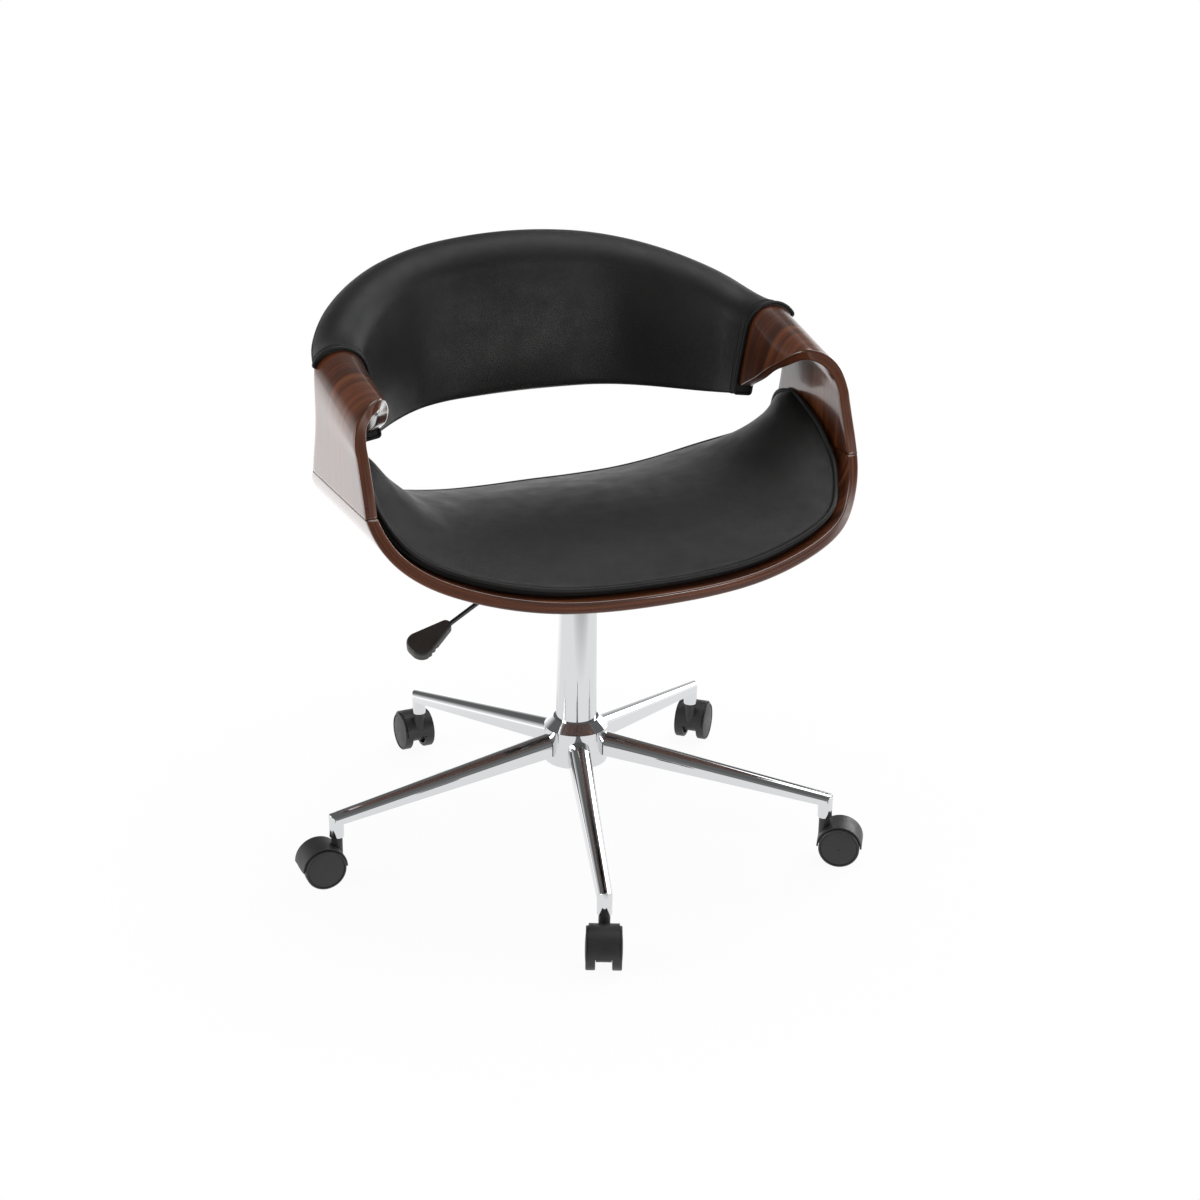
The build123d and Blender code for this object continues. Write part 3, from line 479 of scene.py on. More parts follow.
def legAt(shape, distance):
    # half width, top and bottom of a leg at a distance from the column
    share = (distance - shape["start"]) / (shape["tip"] - shape["start"])
    half = (shape["rootWidth"] + (shape["tipWidth"] - shape["rootWidth"]) * share) / 2
    top = shape["rootTop"] + (shape["tipTop"] - shape["rootTop"]) * share
    bottom = shape["rootBottom"] + (shape["tipBottom"] - shape["rootBottom"]) * share
    return half, top, bottom


def legLoop(shape, distance, inset):
    # half-round outline of a leg, open below
    half, top, bottom = legAt(shape, distance)
    turns = np.linspace(0, pi, shape["archPoints"])
    arch = np.stack([np.cos(turns) * (half - inset), top - half + np.sin(turns) * (half - inset)], -1)
    loop = np.concatenate([[(half - inset, bottom)], arch, [(inset - half, bottom)]])
    return np.concatenate([np.full((len(loop), 1), distance), loop], 1)


def legTip(shape):
    # upright caster socket, bored from below, its top following the leg's round back
    turns = np.linspace(0, 2 * pi, shape["socketPoints"], endpoint=False)
    foot, roof = shape["socketBottom"], shape["socketBottom"] + shape["socketDepth"]
    radius = legAt(shape, shape["stemCircle"])[0]

    def ring(size, height=None):
        x, y = shape["stemCircle"] + size * np.cos(turns), size * np.sin(turns)
        half, top, _ = legAt(shape, x)
        onBack = top - half + np.sqrt(np.maximum(half**2 - y**2, 0)) - shape["tipSink"]
        return np.stack([x, y, onBack if height is None else np.full(len(turns), height)], -1)

    rings = [ring(shape["centre"], roof), ring(shape["bore"], roof), ring(shape["bore"], foot), ring(radius, foot)]
    rings.extend(ring(radius * share) for share in shape["tipRings"])
    return skinObject("tip", np.array(rings))


def ease(piece, shape):
    bevel = piece.modifiers.new("easedEdges", "BEVEL")
    bevel.width = shape["easing"]
    bevel.segments = 2
    bevel.angle_limit = radians(shape["easedFrom"])
    bakeModifiers(piece)


def joined(name, pieces, sharpFrom):
    # one mesh from several pieces
    made = meshObject(name, *gathered(pieces))
    for piece in pieces:
        old = piece.data
        bpy.data.objects.remove(piece)
        bpy.data.meshes.remove(old)
    made.data.set_sharp_from_angle(angle=radians(sharpFrom))
    return made


def makeLeg(shape, number):
    steps = np.linspace(shape["hubRadius"] - shape["rootSink"], shape["stemCircle"], shape["steps"])
    rings = [np.concatenate([legLoop(shape, d, 0), legLoop(shape, d, shape["wall"])[::-1]]) for d in steps]
    channel = skinObject("channel", np.array(rings))
    tip = legTip(shape)
    ease(tip, shape)
    leg = joined(f"baseLeg{number + 1}", [channel, tip], shape["sharpFrom"])
    leg.data.transform(Matrix.Rotation(radians(shape["firstAngle"] + number * 360 / shape["count"]), 4, "Z"))
    return leg


for number in range(legShape["count"]):
    finishPiece(makeLeg(legShape, number), "base", chrome, [f"base_leg_{number + 1}"])
print("legs made")


shellShape = {
    "ply": 0.014, "bottom": 0.394, "flatHalf": 0.060, "halfWidth": 0.3077, "wideRadius": 0.530, "wideAngle": 22.3,
    "seam": 0.498, "seamGap": 0.0004, "edge": 0.0024, "bandShare": 0.7, "cornerSteps": 6, "faceSteps": 26,
    "rows": 190, "rowSpread": 4,
    "flatEdges": ((0, -238, 168), (1, -234.5, 167)),       # share of the part, front and rear in mm
    "wideEdges": ((0.3, -227.5, 163), (0.6, -216, 155), (0.82, -203, 147), (1, -183, 133)),
    "tightEdges": ((0.25, -164, 117), (0.5, -146.5, 101), (0.75, -133.5, 85), (1, -122.5, 62)),
}
armShape = {
    "frontRadius": 42, "rearRadius": 31, "frontHeight": 573, "rearHeight": 613, "tail": 58, "flapLean": 9.5,
    "rows": 130, "rowSpread": 3.5,
    "wallEdges": ((-115.3, 518, 57.5, 518), (-106.3, 539, 50.5, 542), (-98, 559, 46, 569)),
    "rollEdges": ((0, -91, 47), (30, -82.5, 55), (60, -74.5, 58), (90, -64, 58)),
    "flapEdges": ((53.5, -47, 604, 45.5, 642), (61.5, -31, 591, 56, 633), (67.2, -14, 580, 61.4, 616),
                  (71.2, 4, 565, 65, 593), (73, 23, 554, 68.5, 572), (73.7, 38, 545.5, 71.5, 552)),
}


def bothSides(rows):
    return [(-1, row) for row in reversed(rows[1:])] + [(1, row) for row in rows]


def shellStations(shape):
    # x, z, slope, front and rear of the shell's outer face, from the middle to the seam on the right
    flat, radius, angle = shape["flatHalf"], shape["wideRadius"], radians(shape["wideAngle"])
    wideX, wideZ = flat + radius * sin(angle), shape["bottom"] + radius * (1 - cos(angle))
    tight = (shape["halfWidth"] - wideX) / (1 - sin(angle))
    centreX, centreZ = shape["halfWidth"] - tight, wideZ + tight * cos(angle)
    rows = [(flat * s, shape["bottom"], 0.0, a / 1000, b / 1000) for s, a, b in shape["flatEdges"]]
    for s, a, b in shape["wideEdges"]:
        turn = angle * s
        rows.append((flat + radius * sin(turn), shape["bottom"] + radius * (1 - cos(turn)), turn, a / 1000, b / 1000))
    for s, a, b in shape["tightEdges"]:
        turn = angle + (pi / 2 - angle) * s
        rows.append((centreX + tight * sin(turn), centreZ - tight * cos(turn), turn, a / 1000, b / 1000))
    return rows


def plySection(front, rear, inward, sheet):
    # rounded section of a bent sheet: points, how deep each lies in the sheet, and 1 on its front and rear edges
    front, rear, inward = (np.asarray(v, float) for v in (front, rear, inward))
    length = np.linalg.norm(rear - front)
    along = (rear - front) / length
    inward = inward - along * (inward @ along)
    inward /= np.linalg.norm(inward)
    edge, farX, farY = sheet["edge"], length - sheet["edge"], sheet["ply"] - sheet["edge"]
    stepTurn = 90 / (sheet["cornerSteps"] - 1)
    loop = []
    for x, y, start in ((farX, edge, -90), (farX, farY, 0), (edge, farY, 90), (edge, edge, 180)):
        for step in range(sheet["cornerSteps"]):
            turn = radians(start + stepTurn * step)
            loop.append((x + edge * cos(turn), y + edge * sin(turn)))
        if start in (0, 180):
            stride = (length - 2 * edge) / sheet["faceSteps"] * (-1 if start == 0 else 1)
            lastX, lastY = loop[-1]
            loop.extend((lastX + stride * k, lastY) for k in range(1, sheet["faceSteps"]))
    loop = np.array(loop)
    toEnd = np.minimum(loop[:, 0], length - loop[:, 0])
    onEdge = np.clip((edge - toEnd) / (sheet["bandShare"] * edge), 0, 1)
    return front + loop[:, :1] * along + loop[:, 1:] * inward, loop[:, 1], onEdge


def bentSheet(name, rows, sheet, count, spread):
    made = [plySection(*row, sheet) for row in rows]
    skin = smoothRows(splineRows([points for points, _, _ in made], count), spread)
    depth, onEdge = made[0][1:]
    piece = skinObject(name, skin)
    middle = skin.mean(1)
    run = np.concatenate([[0], np.cumsum(np.linalg.norm(np.diff(middle, axis=0), axis=1))])
    grain = np.stack([np.repeat(run, skin.shape[1]), skin[:, :, 1].ravel(), np.tile(depth, count)], -1)
    layer = piece.data.attributes.new("grain", "FLOAT_VECTOR", "POINT")
    layer.data.foreach_set("vector", grain.ravel())
    band = piece.data.attributes.new("edgeBand", "FLOAT", "POINT")
    band.data.foreach_set("value", np.tile(onEdge, count))
    return piece


def shellRows(shape):
    rows = []
    for side, (x, z, slope, front, rear) in bothSides(shellStations(shape)):
        if z >= shape["seam"] - 1e-6:
            z = shape["seam"] - shape["seamGap"] / 2
        rows.append(((side * x, front, z), (side * x, rear, z), (-side * sin(slope), 0, cos(slope))))
    return rows


def armRows(shape, shell, side):
    wall = shell["halfWidth"] * 1000
    seamFront, seamRear = shell["tightEdges"][-1][1:]
    seamZ = (shell["seam"] + shell["seamGap"] / 2) * 1000
    rows = [((wall, seamFront, seamZ), (wall, seamRear, seamZ), (-1, 0, 0))]
    for frontY, frontZ, rearY, rearZ in shape["wallEdges"]:
        rows.append(((wall, frontY, frontZ), (wall, rearY, rearZ), (-1, 0, 0)))
    for turn, frontY, rearY in shape["rollEdges"]:
        across, rise = cos(radians(turn)), sin(radians(turn))
        ahead, behind = shape["frontRadius"], shape["rearRadius"]
        rows.append(((wall - ahead * (1 - across), frontY, shape["frontHeight"] + ahead * rise),
                     (wall - behind * (1 - across), rearY, shape["rearHeight"] + behind * rise),
                     (-across, 0, -rise)))
    for index, (frontIn, frontY, frontZ, rearIn, rearZ) in enumerate(shape["flapEdges"]):
        turn = radians(min(90 + 30 * (index + 1), 180 - shape["flapLean"]))
        rows.append(((wall - frontIn, frontY, frontZ), (wall - rearIn, shape["tail"], rearZ),
                     (-cos(turn), 0, -sin(turn))))
    scale = np.array([side, 1, 1])
    return [(np.array(a) / 1000 * scale, np.array(b) / 1000 * scale, np.array(c) * scale) for a, b, c in rows]


seatShell = bentSheet("seatShell", shellRows(shellShape), shellShape, shellShape["rows"], shellShape["rowSpread"])
finishPiece(seatShell, "seat", walnut, ["seat_shell"])
for side, label in ((-1, "left"), (1, "right")):
    rows = armRows(armShape, shellShape, side)
    arm = bentSheet(label + "Arm", rows, shellShape, armShape["rows"], armShape["rowSpread"])
    finishPiece(arm, "seat", walnut, [label + "_arm"])

fillerSpots = {              # filled nail holes on the left arm's front edge
    "heights": (0.576, 0.548, 0.511), "ahead": 0.3, "radius": 0.0009, "sides": 12, "lift": 0.0001, "sink": 0.001,
}


def nailFiller(spots, tree):
    points, faces = [], []
    sides = spots["sides"]
    for height in spots["heights"]:
        place, normal = tree.find_nearest(Vector((-shellShape["halfWidth"], -spots["ahead"], height)))[:2]
        across = normal.orthogonal().normalized()
        up = normal.cross(across)
        start = len(points)
        for step in range(sides):
            turn = 2 * pi * step / sides
            points.append(place + normal * spots["lift"] + (across * cos(turn) + up * sin(turn)) * spots["radius"])
        points.append(place - normal * spots["sink"])
        faces.append(list(range(start, start + sides)))
        faces.extend((start + (k + 1) % sides, start + k, start + sides) for k in range(sides))
    return meshObject("nailFiller", points, faces, smooth=False)


filler = nailFiller(fillerSpots, surfaceTree(bpy.data.objects["leftArm"]))
finishPiece(filler, "seat", seamShadeAndFiller)
print("bent plywood made")


def evenedAround(field, spread):
    # values on closed rings of points, evened out around each ring
    wrap = int(3 * spread)
    ring = np.concatenate([field[:, -wrap:], field, field[:, :wrap]], 1)
    weights = np.exp(-0.5 * (np.arange(-wrap, wrap + 1) / spread) ** 2)
    weights /= weights.sum()
    return sum(w * ring[:, k:k + field.shape[1]] for k, w in enumerate(weights))


def evened(field, spread):
    return evenedAround(smoothRows(field, spread), spread)


leatherCloth = {
    "quality": 5, "mass": 0.25, "stiffness": 18, "bending": 2.0, "pressure": 1.5, "frames": 12,
    "broad": 4, "fine": 1.2, "fineShare": 0.3,     # how far its movement is evened out, and how much detail stays
}


def swell(piece, rings, shape, skin, pinned):
    # foam under leather: a slightly smaller shape swells under pressure, held where it is fixed
    start = coordinates(piece.data)
    held = np.array([pinned(Vector(p)) for p in start])
    normals = vertexNormals(piece.data)
    putCoordinates(piece.data, start - normals * (shape["shrink"] * (1 - held))[:, None])
    group = piece.vertex_groups.new(name="held")
    for index, weight in enumerate(held):
        if weight > 0.01:
            group.add([index], float(weight), "REPLACE")
    cloth = piece.modifiers.new("leatherSkin", "CLOTH")
    cloth.settings.quality = skin["quality"]
    cloth.settings.mass = skin["mass"]
    cloth.settings.tension_stiffness = skin["stiffness"]
    cloth.settings.compression_stiffness = skin["stiffness"]
    cloth.settings.bending_stiffness = skin["bending"]
    cloth.settings.vertex_group_mass = "held"
    cloth.settings.use_pressure = True
    cloth.settings.uniform_pressure_force = skin["pressure"]
    cloth.settings.effector_weights.gravity = 0
    cloth.collision_settings.use_collision = False
    cloth.point_cache.frame_start = 1
    cloth.point_cache.frame_end = skin["frames"]
    scene = bpy.context.scene
    for number in range(1, skin["frames"] + 1):
        scene.frame_set(number)
    swollen = coordinates(evaluatedMesh(piece, piece.name + "Swollen"))
    piece.modifiers.clear()
    scene.frame_set(1)
    move = (swollen - start).reshape(*rings, 3)
    even = evened(move, skin["broad"])
    move = even + skin["fineShare"] * (evened(move, skin["fine"]) - even)
    move *= min(1, shape["cap"] / np.linalg.norm(move, axis=2).max())
    putCoordinates(piece.data, start + move.reshape(-1, 3))
    piece.vertex_groups.clear()


cushionShape = {
    "gap": 0.0008, "frontEdge": 0.016, "rearEdge": 0.013, "edgeShare": 0.6, "bulgeShare": 0.35,
    # front and rear inset, lean and thickness at the shell's stations, then
    # rise, front, rear, lean and thickness of the lobes on the arms
    "shellRows": ((12, 14, 0, 44), (12, 14, 3, 44), (12, 14, 8, 43), (12, 14, 18, 41), (12, 14, 33, 44),
                  (13, 14, 46, 54), (15, 13, 48, 58), (19, 12, 53, 56.5), (25, 11, 59, 51.5)),
    "lobeRows": ((0, -87, 54, 62, 46), (10, -77, 51, 62, 40.5), (20, -62, 48, 65, 34), (28, -45, 44, 67, 28),
                 (34, -24, 36, 68, 21), (37, -9, 27, 65, 14), (38.6, -1, 21, 64, 10), (39.4, 5, 15, 63, 7)),
    "basePoints": 30, "endPoints": 9, "crownPoints": 64, "rings": 170, "ringSpread": 3,
    "shrink": 0.002, "cap": 0.0030, "heldWithin": 0.012, "heldOver": 0.005,
    "weltRadius": 0.0031, "weltSink": -0.0004, "weltTurn": 1.6, "weltHeight": 0.62, "weltPoints": 160,
}


def cushionRows(shape, shell):
    rows = []
    for (x, z, slope, front, rear), (a, b, lean, thick) in zip(shellStations(shell), shape["shellRows"]):
        rows.append((x - shell["ply"] * sin(slope), z + shell["ply"] * cos(slope), radians(lean),
                     front + a / 1000, rear - b / 1000, thick / 1000))
    for rise, front, rear, lean, thick in shape["lobeRows"]:
        rows.append((shell["halfWidth"] - shell["ply"], shell["seam"] + rise / 1000, radians(lean),
                     front / 1000, rear / 1000, thick / 1000))
    return rows


def cushionSection(shape, side, row):
    x, z, lean, front, rear, thick = row
    frontEdge = min(shape["frontEdge"], thick * shape["edgeShare"])
    rearEdge = min(shape["rearEdge"], thick * shape["edgeShare"])
    frontEnd, rearEnd = front + frontEdge * shape["bulgeShare"], rear - rearEdge * shape["bulgeShare"]
    gap = shape["gap"]
    ends, top = shape["endPoints"], ((front + rear) / 2, thick)
    base = np.linspace((frontEnd, gap), (rearEnd, gap), shape["basePoints"])
    back = arcThrough((rearEnd, gap), (rear, rearEdge / 2), (rearEnd, rearEdge), ends)
    crown = arcThrough((rearEnd, rearEdge), top, (frontEnd, frontEdge), shape["crownPoints"])
    nose = arcThrough((frontEnd, frontEdge), (front, frontEdge / 2), (frontEnd, gap), ends)
    loop = np.concatenate([base[:-1], back[:-1], crown[:-1], nose[:-1]])
    inward = np.array([-side * sin(lean), 0, cos(lean)])
    origin = np.array([side * x, 0, z])
    made = origin + loop[:, :1] * np.array([0, 1, 0]) + loop[:, 1:] * inward
    weltFront = origin + np.array([0, front + shape["weltSink"], 0]) + inward * frontEdge * shape["weltHeight"]
    weltRear = origin + np.array([0, rear - shape["weltSink"], 0]) + inward * rearEdge * shape["weltHeight"]
    return made, weltFront, weltRear


woodTree = surfaceTree(nodes["seat_shell"], nodes["left_arm"], nodes["right_arm"])


def besideWood(point):
    hit = woodTree.find_nearest(point)
    near = hit[3] if hit[3] is not None else 1.0
    return min(1.0, max(0.0, (cushionShape["heldWithin"] - near) / cushionShape["heldOver"]))


sections, weltFront, weltRear = [], [], []
for side, row in bothSides(cushionRows(cushionShape, shellShape)):
    made, front, rear = cushionSection(cushionShape, side, row)
    sections.append(made)
    weltFront.append(front)
    weltRear.append(rear)
cushionSkin = smoothRows(splineRows(sections, cushionShape["rings"]), cushionShape["ringSpread"])
cushion = skinObject("seatCushion", cushionSkin)
swell(cushion, cushionSkin.shape[:2], cushionShape, leatherCloth, besideWood)
finishPiece(cushion, "seat", leather, ["seat_cushion"])
print("cushion made:", len(cushion.data.polygons), "faces")

frontLine, rearLine = (splineRows(np.array(line)[:, None, :], cushionShape["weltPoints"])[:, 0]
                       for line in (weltFront, weltRear))
weltLine = evenedAround(np.concatenate([frontLine, rearLine[::-1]])[None], cushionShape["weltTurn"])[0]
welt = tubeAlong("cushionWelt", weltLine, cushionShape["weltRadius"], closed=True, sides=12)
finishPiece(welt, "seat", leather)
print("welt made")

padShape = {
    # inset from the wall, y, z of the lower front edge, heading, top, roll radius, roll turn, thickness
    "rows": ((77.7, 47, 534.5, 0, 644, 35, 142, 22), (87.7, 74, 528, 20, 648.7, 36, 138, 26),
             (99.7, 92, 525, 33, 662.3, 37, 132, 29), (123.7, 119.5, 523, 44, 677.7, 38, 126, 32),
             (147.7, 140, 523, 53, 689.3, 39, 120, 33), (171.7, 156, 523, 62, 698.1, 40, 115, 34),
             (207.7, 168.5, 523.5, 74, 707.6, 41, 110, 34.5), (257.7, 172.5, 524.5, 83, 714.9, 42, 106, 35),
             (307.7, 173, 525, 90, 717.8, 42, 105, 35)),
    "hemLean": 9.1, "middleLean": 5.0, "hemCrown": 0.5, "crown": 6.0, "hemRounding": 0.14, "rounding": 0.36,
    "facePoints": 60, "rearPoints": 48, "endPoints": 4, "turnPoints": 8, "curvePoints": 40, "backPoints": 30,
    "lipPoints": 12, "rings": 170, "ringSpread": 3,
    "shrink": 0.002, "cap": 0.0025, "heldBefore": 0.075, "heldOver": 0.02,
    "topSeam": 68, "footSeam": 3,      # points of a ring where the seams along the pad run
    "hemRadius": 0.0021, "lipBack": 0.0046, "lipRadius": 0.0013, "lipSink": 0.0002, "edgeRadius": 0.0011,
    "stitchBack": 0.0108, "stitchLift": 0.0002, "seamBack": 0.0128, "seamRadius": 0.0006,
}


def cutCorner(first, second, reach):
    # trims two runs of points that meet in a corner and joins them by a rounded turn
    def trimmed(run, fromEnd):
        run = run[::-1] if fromEnd else run
        along = np.concatenate([[0], np.cumsum(np.linalg.norm(np.diff(run, axis=0), axis=1))])
        start = np.array([np.interp(reach, along, run[:, k]) for k in range(2)])
        rest = np.concatenate([start[None], run[along > reach]])
        return rest[::-1] if fromEnd else rest
    corner = first[-1]
    a, b = trimmed(first, True), trimmed(second, False)
    u = np.linspace(0, 1, padShape["turnPoints"])[1:-1, None]
    turn = (1 - u) ** 2 * a[-1] + 2 * u * (1 - u) * corner + u**2 * b[0]
    return a, turn, b


def padSection(shape, side, row, share):
    inset, y, z, heading, top, roll, turn, thick = row
    lean = radians(shape["hemLean"] + (shape["middleLean"] - shape["hemLean"]) * share)
    along, back = np.array([sin(lean), cos(lean)]), np.array([cos(lean), -sin(lean)])
    straight = (top - z - roll * (1 - sin(lean))) / cos(lean)
    shoulder = along * straight
    centre = shoulder + back * roll
    hollow = roll - thick
    tip, half = lean + radians(turn), lean + radians(turn / 2)
    end, middle = np.array([-cos(tip), sin(tip)]), np.array([-cos(half), sin(half)])
    crown = shape["hemCrown"] + (shape["crown"] - shape["hemCrown"]) * share
    rounding = thick * (shape["hemRounding"] + (shape["rounding"] - shape["hemRounding"]) * share)
    foot, heel = np.zeros(2), back * thick
    lipOuter, lipInner = centre + end * roll, centre + end * hollow
    curve, behind, ends = shape["curvePoints"], shape["backPoints"], shape["endPoints"]
    face = np.concatenate([arcThrough(foot, shoulder / 2 - back * crown, shoulder, curve)[:-1],
                           arcThrough(shoulder, centre + middle * roll, lipOuter, curve)])
    lip = np.linspace(lipOuter, lipInner, shape["lipPoints"])
    rear = np.concatenate([arcThrough(lipInner, centre + middle * hollow, shoulder + heel, behind)[:-1],
                           np.linspace(shoulder + heel, heel, behind)])
    base = np.linspace(heel, foot, shape["lipPoints"])
    base, turnFoot, face = cutCorner(base, face, rounding)
    face, turnOuter, lip = cutCorner(face, lip, rounding)
    lip, turnInner, rear = cutCorner(lip, rear, rounding)
    rear, turnHeel, base = cutCorner(rear, base, rounding)
    loop = np.concatenate([turnFoot, evenPoints(face, shape["facePoints"]), turnOuter, evenPoints(lip, ends),
                           turnInner, evenPoints(rear, shape["rearPoints"]), turnHeel, evenPoints(base, ends)]) / 1000
    outward = np.array([side * cos(radians(heading)), sin(radians(heading)), 0])
    origin = np.array([side * (shellShape["halfWidth"] - inset / 1000), y / 1000, z / 1000])
    return origin + loop[:, :1] * outward + loop[:, 1:] * np.array([0, 0, 1])


padRows = [(i / (len(padShape["rows"]) - 1), row) for i, row in enumerate(padShape["rows"])][::-1]
padSections = [padSection(padShape, side, row, share) for side, (share, row) in bothSides(padRows)]
padSkin = smoothRows(splineRows(padSections, padShape["rings"]), padShape["ringSpread"])
pad = skinObject("backPad", padSkin)


def besideHem(point):
    return min(1.0, max(0.0, (padShape["heldBefore"] - point.y) / padShape["heldOver"]))


swell(pad, padSkin.shape[:2], padShape, leatherCloth, besideHem)
finishPiece(pad, "seat", leather, ["back_pad"])
padTree = surfaceTree(pad)
print("back pad made:", len(pad.data.polygons), "faces")


def ringAt(end, distance):
    # the pad's outline at a distance from a hem, laid on the leather
    order = padSkin if end < 0 else padSkin[::-1]
    gone = np.linalg.norm(np.diff(order, axis=0), axis=2).mean(1)
    along = np.concatenate([[0], np.cumsum(gone)])
    i = min(np.searchsorted(along, distance, side="right") - 1, len(order) - 2)
    u = (distance - along[i]) / (along[i + 1] - along[i])
    return order[i] * (1 - u) + order[i + 1] * u


def onLeather(points, lift):
    made = []
    for point in points:
        place, normal = padTree.find_nearest(Vector(point))[:2]
        made.append(place + normal * lift)
    return made


stitchLook = {"Pitch": 0.0046, "Length": 0.0032, "Thickness": 0.0006}


def stitchTree(material, sizes):
    tree = bpy.data.node_groups.new("hemStitches", "GeometryNodeTree")
    tree.interface.new_socket("Geometry", in_out="OUTPUT", socket_type="NodeSocketGeometry")
    tree.interface.new_socket("Geometry", in_out="INPUT", socket_type="NodeSocketGeometry")
    for label in sizes:
        tree.interface.new_socket(label, in_out="INPUT", socket_type="NodeSocketFloat")
    into = tree.nodes.new("NodeGroupInput")
    out = tree.nodes.new("NodeGroupOutput")
    spread = tree.nodes.new("GeometryNodeCurveToPoints")
    spread.mode = "LENGTH"
    turn = tree.nodes.new("FunctionNodeAlignRotationToVector")
    turn.axis = "Z"
    thread = tree.nodes.new("GeometryNodeMeshCylinder")
    thread.inputs["Vertices"].default_value = 6
    place = tree.nodes.new("GeometryNodeInstanceOnPoints")
    real = tree.nodes.new("GeometryNodeRealizeInstances")
    paint = tree.nodes.new("GeometryNodeSetMaterial")
    paint.inputs["Material"].default_value = material
    link = tree.links.new
    link(into.outputs["Geometry"], spread.inputs["Curve"])
    link(into.outputs["Pitch"], spread.inputs["Length"])
    link(into.outputs["Thickness"], thread.inputs["Radius"])
    link(into.outputs["Length"], thread.inputs["Depth"])
    link(spread.outputs["Points"], place.inputs["Points"])
    link(spread.outputs["Tangent"], turn.inputs["Vector"])
    link(turn.outputs["Rotation"], place.inputs["Rotation"])
    link(thread.outputs["Mesh"], place.inputs["Instance"])
    link(place.outputs["Instances"], real.inputs["Geometry"])
    link(real.outputs["Geometry"], paint.inputs["Geometry"])
    link(paint.outputs["Geometry"], out.inputs["Geometry"])
    return tree


def stitchesAlong(name, loops, tree, sizes):
    holder = pathObject(name, loops, True)
    modifier = holder.modifiers.new("stitches", "NODES")
    modifier.node_group = tree
    for item in tree.interface.items_tree:
        if item.in_out == "INPUT" and item.name in sizes:
            modifier[item.identifier] = sizes[item.name]
    bpy.context.view_layer.update()
    return meshFromPath(name, holder)


hemLoops = []
for end, label in ((-1, "left"), (1, "right")):
    hem = tubeAlong(label + "Hem", ringAt(end, 0.0), padShape["hemRadius"], closed=True, sides=12)
    finishPiece(hem, "seat", leather)
    lipLoop = onLeather(ringAt(end, padShape["lipBack"]), -padShape["lipSink"])
    lip = tubeAlong(label + "HemLip", lipLoop, padShape["lipRadius"], closed=True, sides=8)
    finishPiece(lip, "seat", leather)
    # the seam line is a thin near-black tube, painted shade where the hem seam's groove is
    seamLoop = onLeather(ringAt(end, padShape["seamBack"]), 0.0)
    seam = tubeAlong(label + "HemSeam", seamLoop, padShape["seamRadius"], closed=True, sides=6)
    finishPiece(seam, "seat", seamShadeAndFiller)
    hemLoops.append(onLeather(ringAt(end, padShape["stitchBack"]), padShape["stitchLift"]))
for label, index in (("padTopSeam", padShape["topSeam"]), ("padFootSeam", padShape["footSeam"])):
    edge = tubeAlong(label, onLeather(padSkin[::2, index], 0.0), padShape["edgeRadius"], sides=8)
    finishPiece(edge, "seat", leather)
stitches = stitchesAlong("hemStitches", hemLoops, stitchTree(threadFinish, stitchLook), stitchLook)
finishPiece(stitches, "seat", threadFinish)
print("hems and stitches made")


studio = {
    "place": (-1.08498, -2.39922, 1.35886),
    "right": (0.909032, -0.416497, 0.013802),
    "up": (0.141999, 0.34072, 0.929379),
    "forward": (0.391787, 0.842876, -0.368868),
    "lens": 70.409,
    "sensor": 36.0,
    "clipEnd": 50,
    "ambient": 0.50,
    "ceiling": 0.14,         # brightness of the room above, as metal and lacquer show it
    "front": 0.20,           # and of the room in front
    "behind": 1.6,           # and of the floor behind
    "ceilingFrom": (0.10, 0.42),
    "frontFrom": (0.30, 0.65),
    "floorFront": (-1.1, -0.5),
    "floorBehind": (0.3, 0.9),
    "floorHalf": 12,
    "floorColour": (0.86, 0.86, 0.86),
    "floorRough": 0.9,
    "glowShare": (0.94, 1.0),          # near the chair a little less, so that its shadow shows
    "glowReach": (0.30, 0.70),
    "unlimited": 9.0,
    "lamps": {               # place, target, size, power
        "topLamp": ((0.7, 0.2, 2.6), (0, 0, 0.4), (2.0, 1.4), 24),
        "leftLamp": ((-2.4, 0.2, 1.0), (0, 0, 0.5), (1.0, 1.6), 24),
        "rightLamp": ((2.2, 1.0, 1.2), (0, 0, 0.5), (1.0, 1.6), 24),
        "frontLamp": ((1.2, -2.4, 0.55), (0, 0, 0.6), (0.9, 0.6), 17),
    },
}
lensData = bpy.data.cameras.new("photoCamera")
lensData.lens = studio["lens"]
lensData.sensor_width = studio["sensor"]
lensData.sensor_fit = "HORIZONTAL"
lensData.clip_end = studio["clipEnd"]
camera = bpy.data.objects.new("photoCamera", lensData)
bpy.context.scene.collection.objects.link(camera)
right, up, forward = (Vector(studio[key]).normalized() for key in ("right", "up", "forward"))
turn = Matrix((right, up, -forward)).transposed().to_4x4()
camera.matrix_world = Matrix.Translation(studio["place"]) @ turn
bpy.context.scene.camera = camera


def seenDirectly(tree):
    # 1 where the camera sees the surface, by itself or in metal or glass
    rays = addNode(tree, "ShaderNodeLightPath")
    first = addNode(tree, "ShaderNodeMath", operation="MAXIMUM")
    second = addNode(tree, "ShaderNodeMath", operation="MAXIMUM")
    tree.links.new(rays.outputs["Is Camera Ray"], first.inputs[0])
    tree.links.new(rays.outputs["Is Glossy Ray"], first.inputs[1])
    tree.links.new(first.outputs[0], second.inputs[0])
    tree.links.new(rays.outputs["Is Transmission Ray"], second.inputs[1])
    return second.outputs[0]


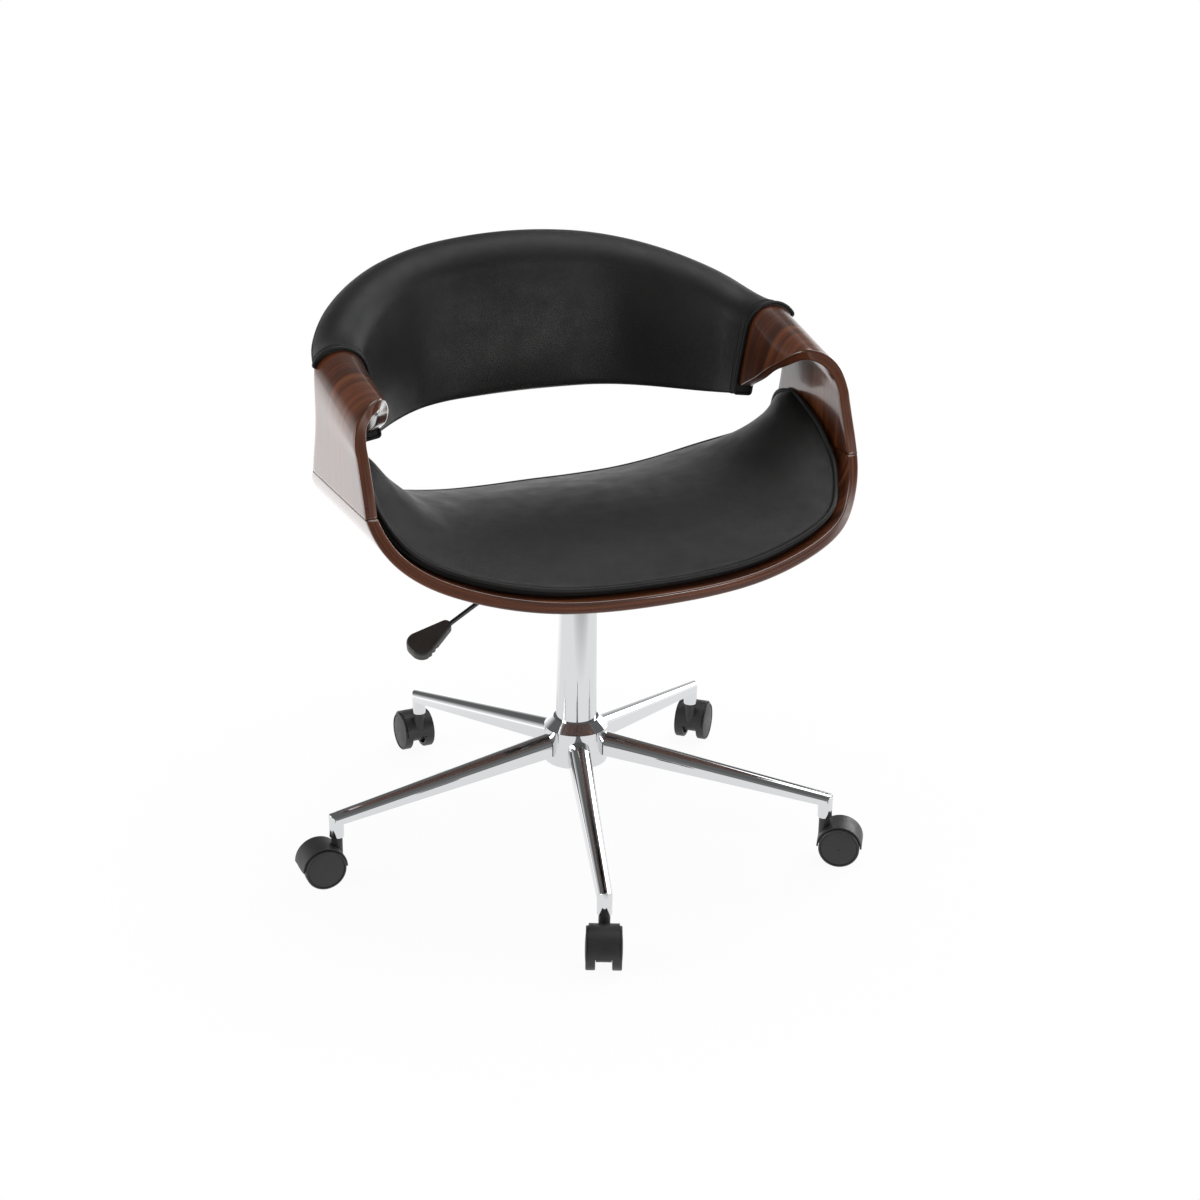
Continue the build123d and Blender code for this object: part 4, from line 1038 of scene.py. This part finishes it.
half = studio["floorHalf"]
corners = [(-half, -half, 0), (half, -half, 0), (half, half, 0), (-half, half, 0)]
floor = meshObject("studioFloor", corners, [(0, 1, 2, 3)])
floorPaint, tree, shader = newFinish("paleFloor")
shader.inputs["Base Color"].default_value = (*studio["floorColour"], 1)
shader.inputs["Roughness"].default_value = studio["floorRough"]
ground = objectSpace(tree)
rays = addNode(tree, "ShaderNodeLightPath")
apart = addNode(tree, "ShaderNodeSeparateXYZ")
tree.links.new(ground, apart.inputs["Vector"])
nearby = rangeNode(tree, apart.outputs["Y"], studio["front"], 1.0, *studio["floorFront"])
beyond = rangeNode(tree, apart.outputs["Y"], 1.0, studio["behind"], *studio["floorBehind"])
mirrorLevel = addNode(tree, "ShaderNodeMath", operation="MULTIPLY")
tree.links.new(nearby, mirrorLevel.inputs[0])
tree.links.new(beyond, mirrorLevel.inputs[1])
mirrored = addNode(tree, "ShaderNodeMath", operation="MAXIMUM")
tree.links.new(rays.outputs["Is Camera Ray"], mirrored.inputs[0])
tree.links.new(mirrorLevel.outputs[0], mirrored.inputs[1])
level = addNode(tree, "ShaderNodeMath", operation="MINIMUM")      # plain white to the camera itself
tree.links.new(mirrored.outputs[0], level.inputs[0])
tree.links.new(rangeNode(tree, rays.outputs["Is Camera Ray"], studio["unlimited"], 1.0), level.inputs[1])
glow = addNode(tree, "ShaderNodeEmission")
glow.inputs["Color"].default_value = (1, 1, 1, 1)
tree.links.new(level.outputs[0], glow.inputs["Strength"])
far = addNode(tree, "ShaderNodeVectorMath", operation="LENGTH")
tree.links.new(ground, far.inputs[0])
share = addNode(tree, "ShaderNodeMath", operation="MULTIPLY")
tree.links.new(seenDirectly(tree), share.inputs[0])
glowShare = rangeNode(tree, far.outputs["Value"], *studio["glowShare"], *studio["glowReach"])
tree.links.new(glowShare, share.inputs[1])
both = addNode(tree, "ShaderNodeMixShader")
tree.links.new(share.outputs[0], both.inputs["Fac"])
tree.links.new(shader.outputs["BSDF"], both.inputs[1])
tree.links.new(glow.outputs["Emission"], both.inputs[2])
tree.links.new(both.outputs["Shader"], tree.nodes["Material Output"].inputs["Surface"])
floor.data.materials.append(floorPaint)

world = bpy.data.worlds.new("paleRoom")
bpy.context.scene.world = world
world.use_nodes = True
sky = world.node_tree
ambient = sky.nodes["Background"]
ambient.inputs["Color"].default_value = (1, 1, 1, 1)
ambient.inputs["Strength"].default_value = studio["ambient"]
bright = addNode(sky, "ShaderNodeBackground")
bright.inputs["Color"].default_value = (1, 1, 1, 1)
where = addNode(sky, "ShaderNodeTexCoord")
height = addNode(sky, "ShaderNodeSeparateXYZ")
sky.links.new(where.outputs["Generated"], height.inputs["Vector"])
toward = addNode(sky, "ShaderNodeVectorMath", operation="DOT_PRODUCT")
sky.links.new(where.outputs["Generated"], toward.inputs[0])
toward.inputs[1].default_value = (-forward.x, -forward.y, 0)
above = rangeNode(sky, height.outputs["Z"], 1.0, studio["ceiling"], *studio["ceilingFrom"])
front = rangeNode(sky, toward.outputs["Value"], 1.0, studio["front"], *studio["frontFrom"])
dimmer = addNode(sky, "ShaderNodeMath", operation="MINIMUM")
sky.links.new(above, dimmer.inputs[0])
sky.links.new(front, dimmer.inputs[1])
inView = addNode(sky, "ShaderNodeMath", operation="MAXIMUM")
sky.links.new(dimmer.outputs[0], inView.inputs[0])
sky.links.new(addNode(sky, "ShaderNodeLightPath").outputs["Is Camera Ray"], inView.inputs[1])
sky.links.new(inView.outputs[0], bright.inputs["Strength"])
either = addNode(sky, "ShaderNodeMixShader")
sky.links.new(seenDirectly(sky), either.inputs["Fac"])
sky.links.new(ambient.outputs["Background"], either.inputs[1])
sky.links.new(bright.outputs["Background"], either.inputs[2])
sky.links.new(either.outputs["Shader"], sky.nodes["World Output"].inputs["Surface"])


def softLamp(name, place, target, size, power):
    lamp = bpy.data.lights.new(name, "AREA")
    lamp.shape = "RECTANGLE"
    lamp.size, lamp.size_y = size
    lamp.energy = power
    holder = bpy.data.objects.new(name, lamp)
    bpy.context.scene.collection.objects.link(holder)
    holder.location = place
    holder.rotation_euler = (Vector(target) - Vector(place)).to_track_quat("-Z", "Y").to_euler()


for name, lamp in studio["lamps"].items():
    softLamp(name, *lamp)
bpy.context.scene.view_settings.view_transform = "Standard"
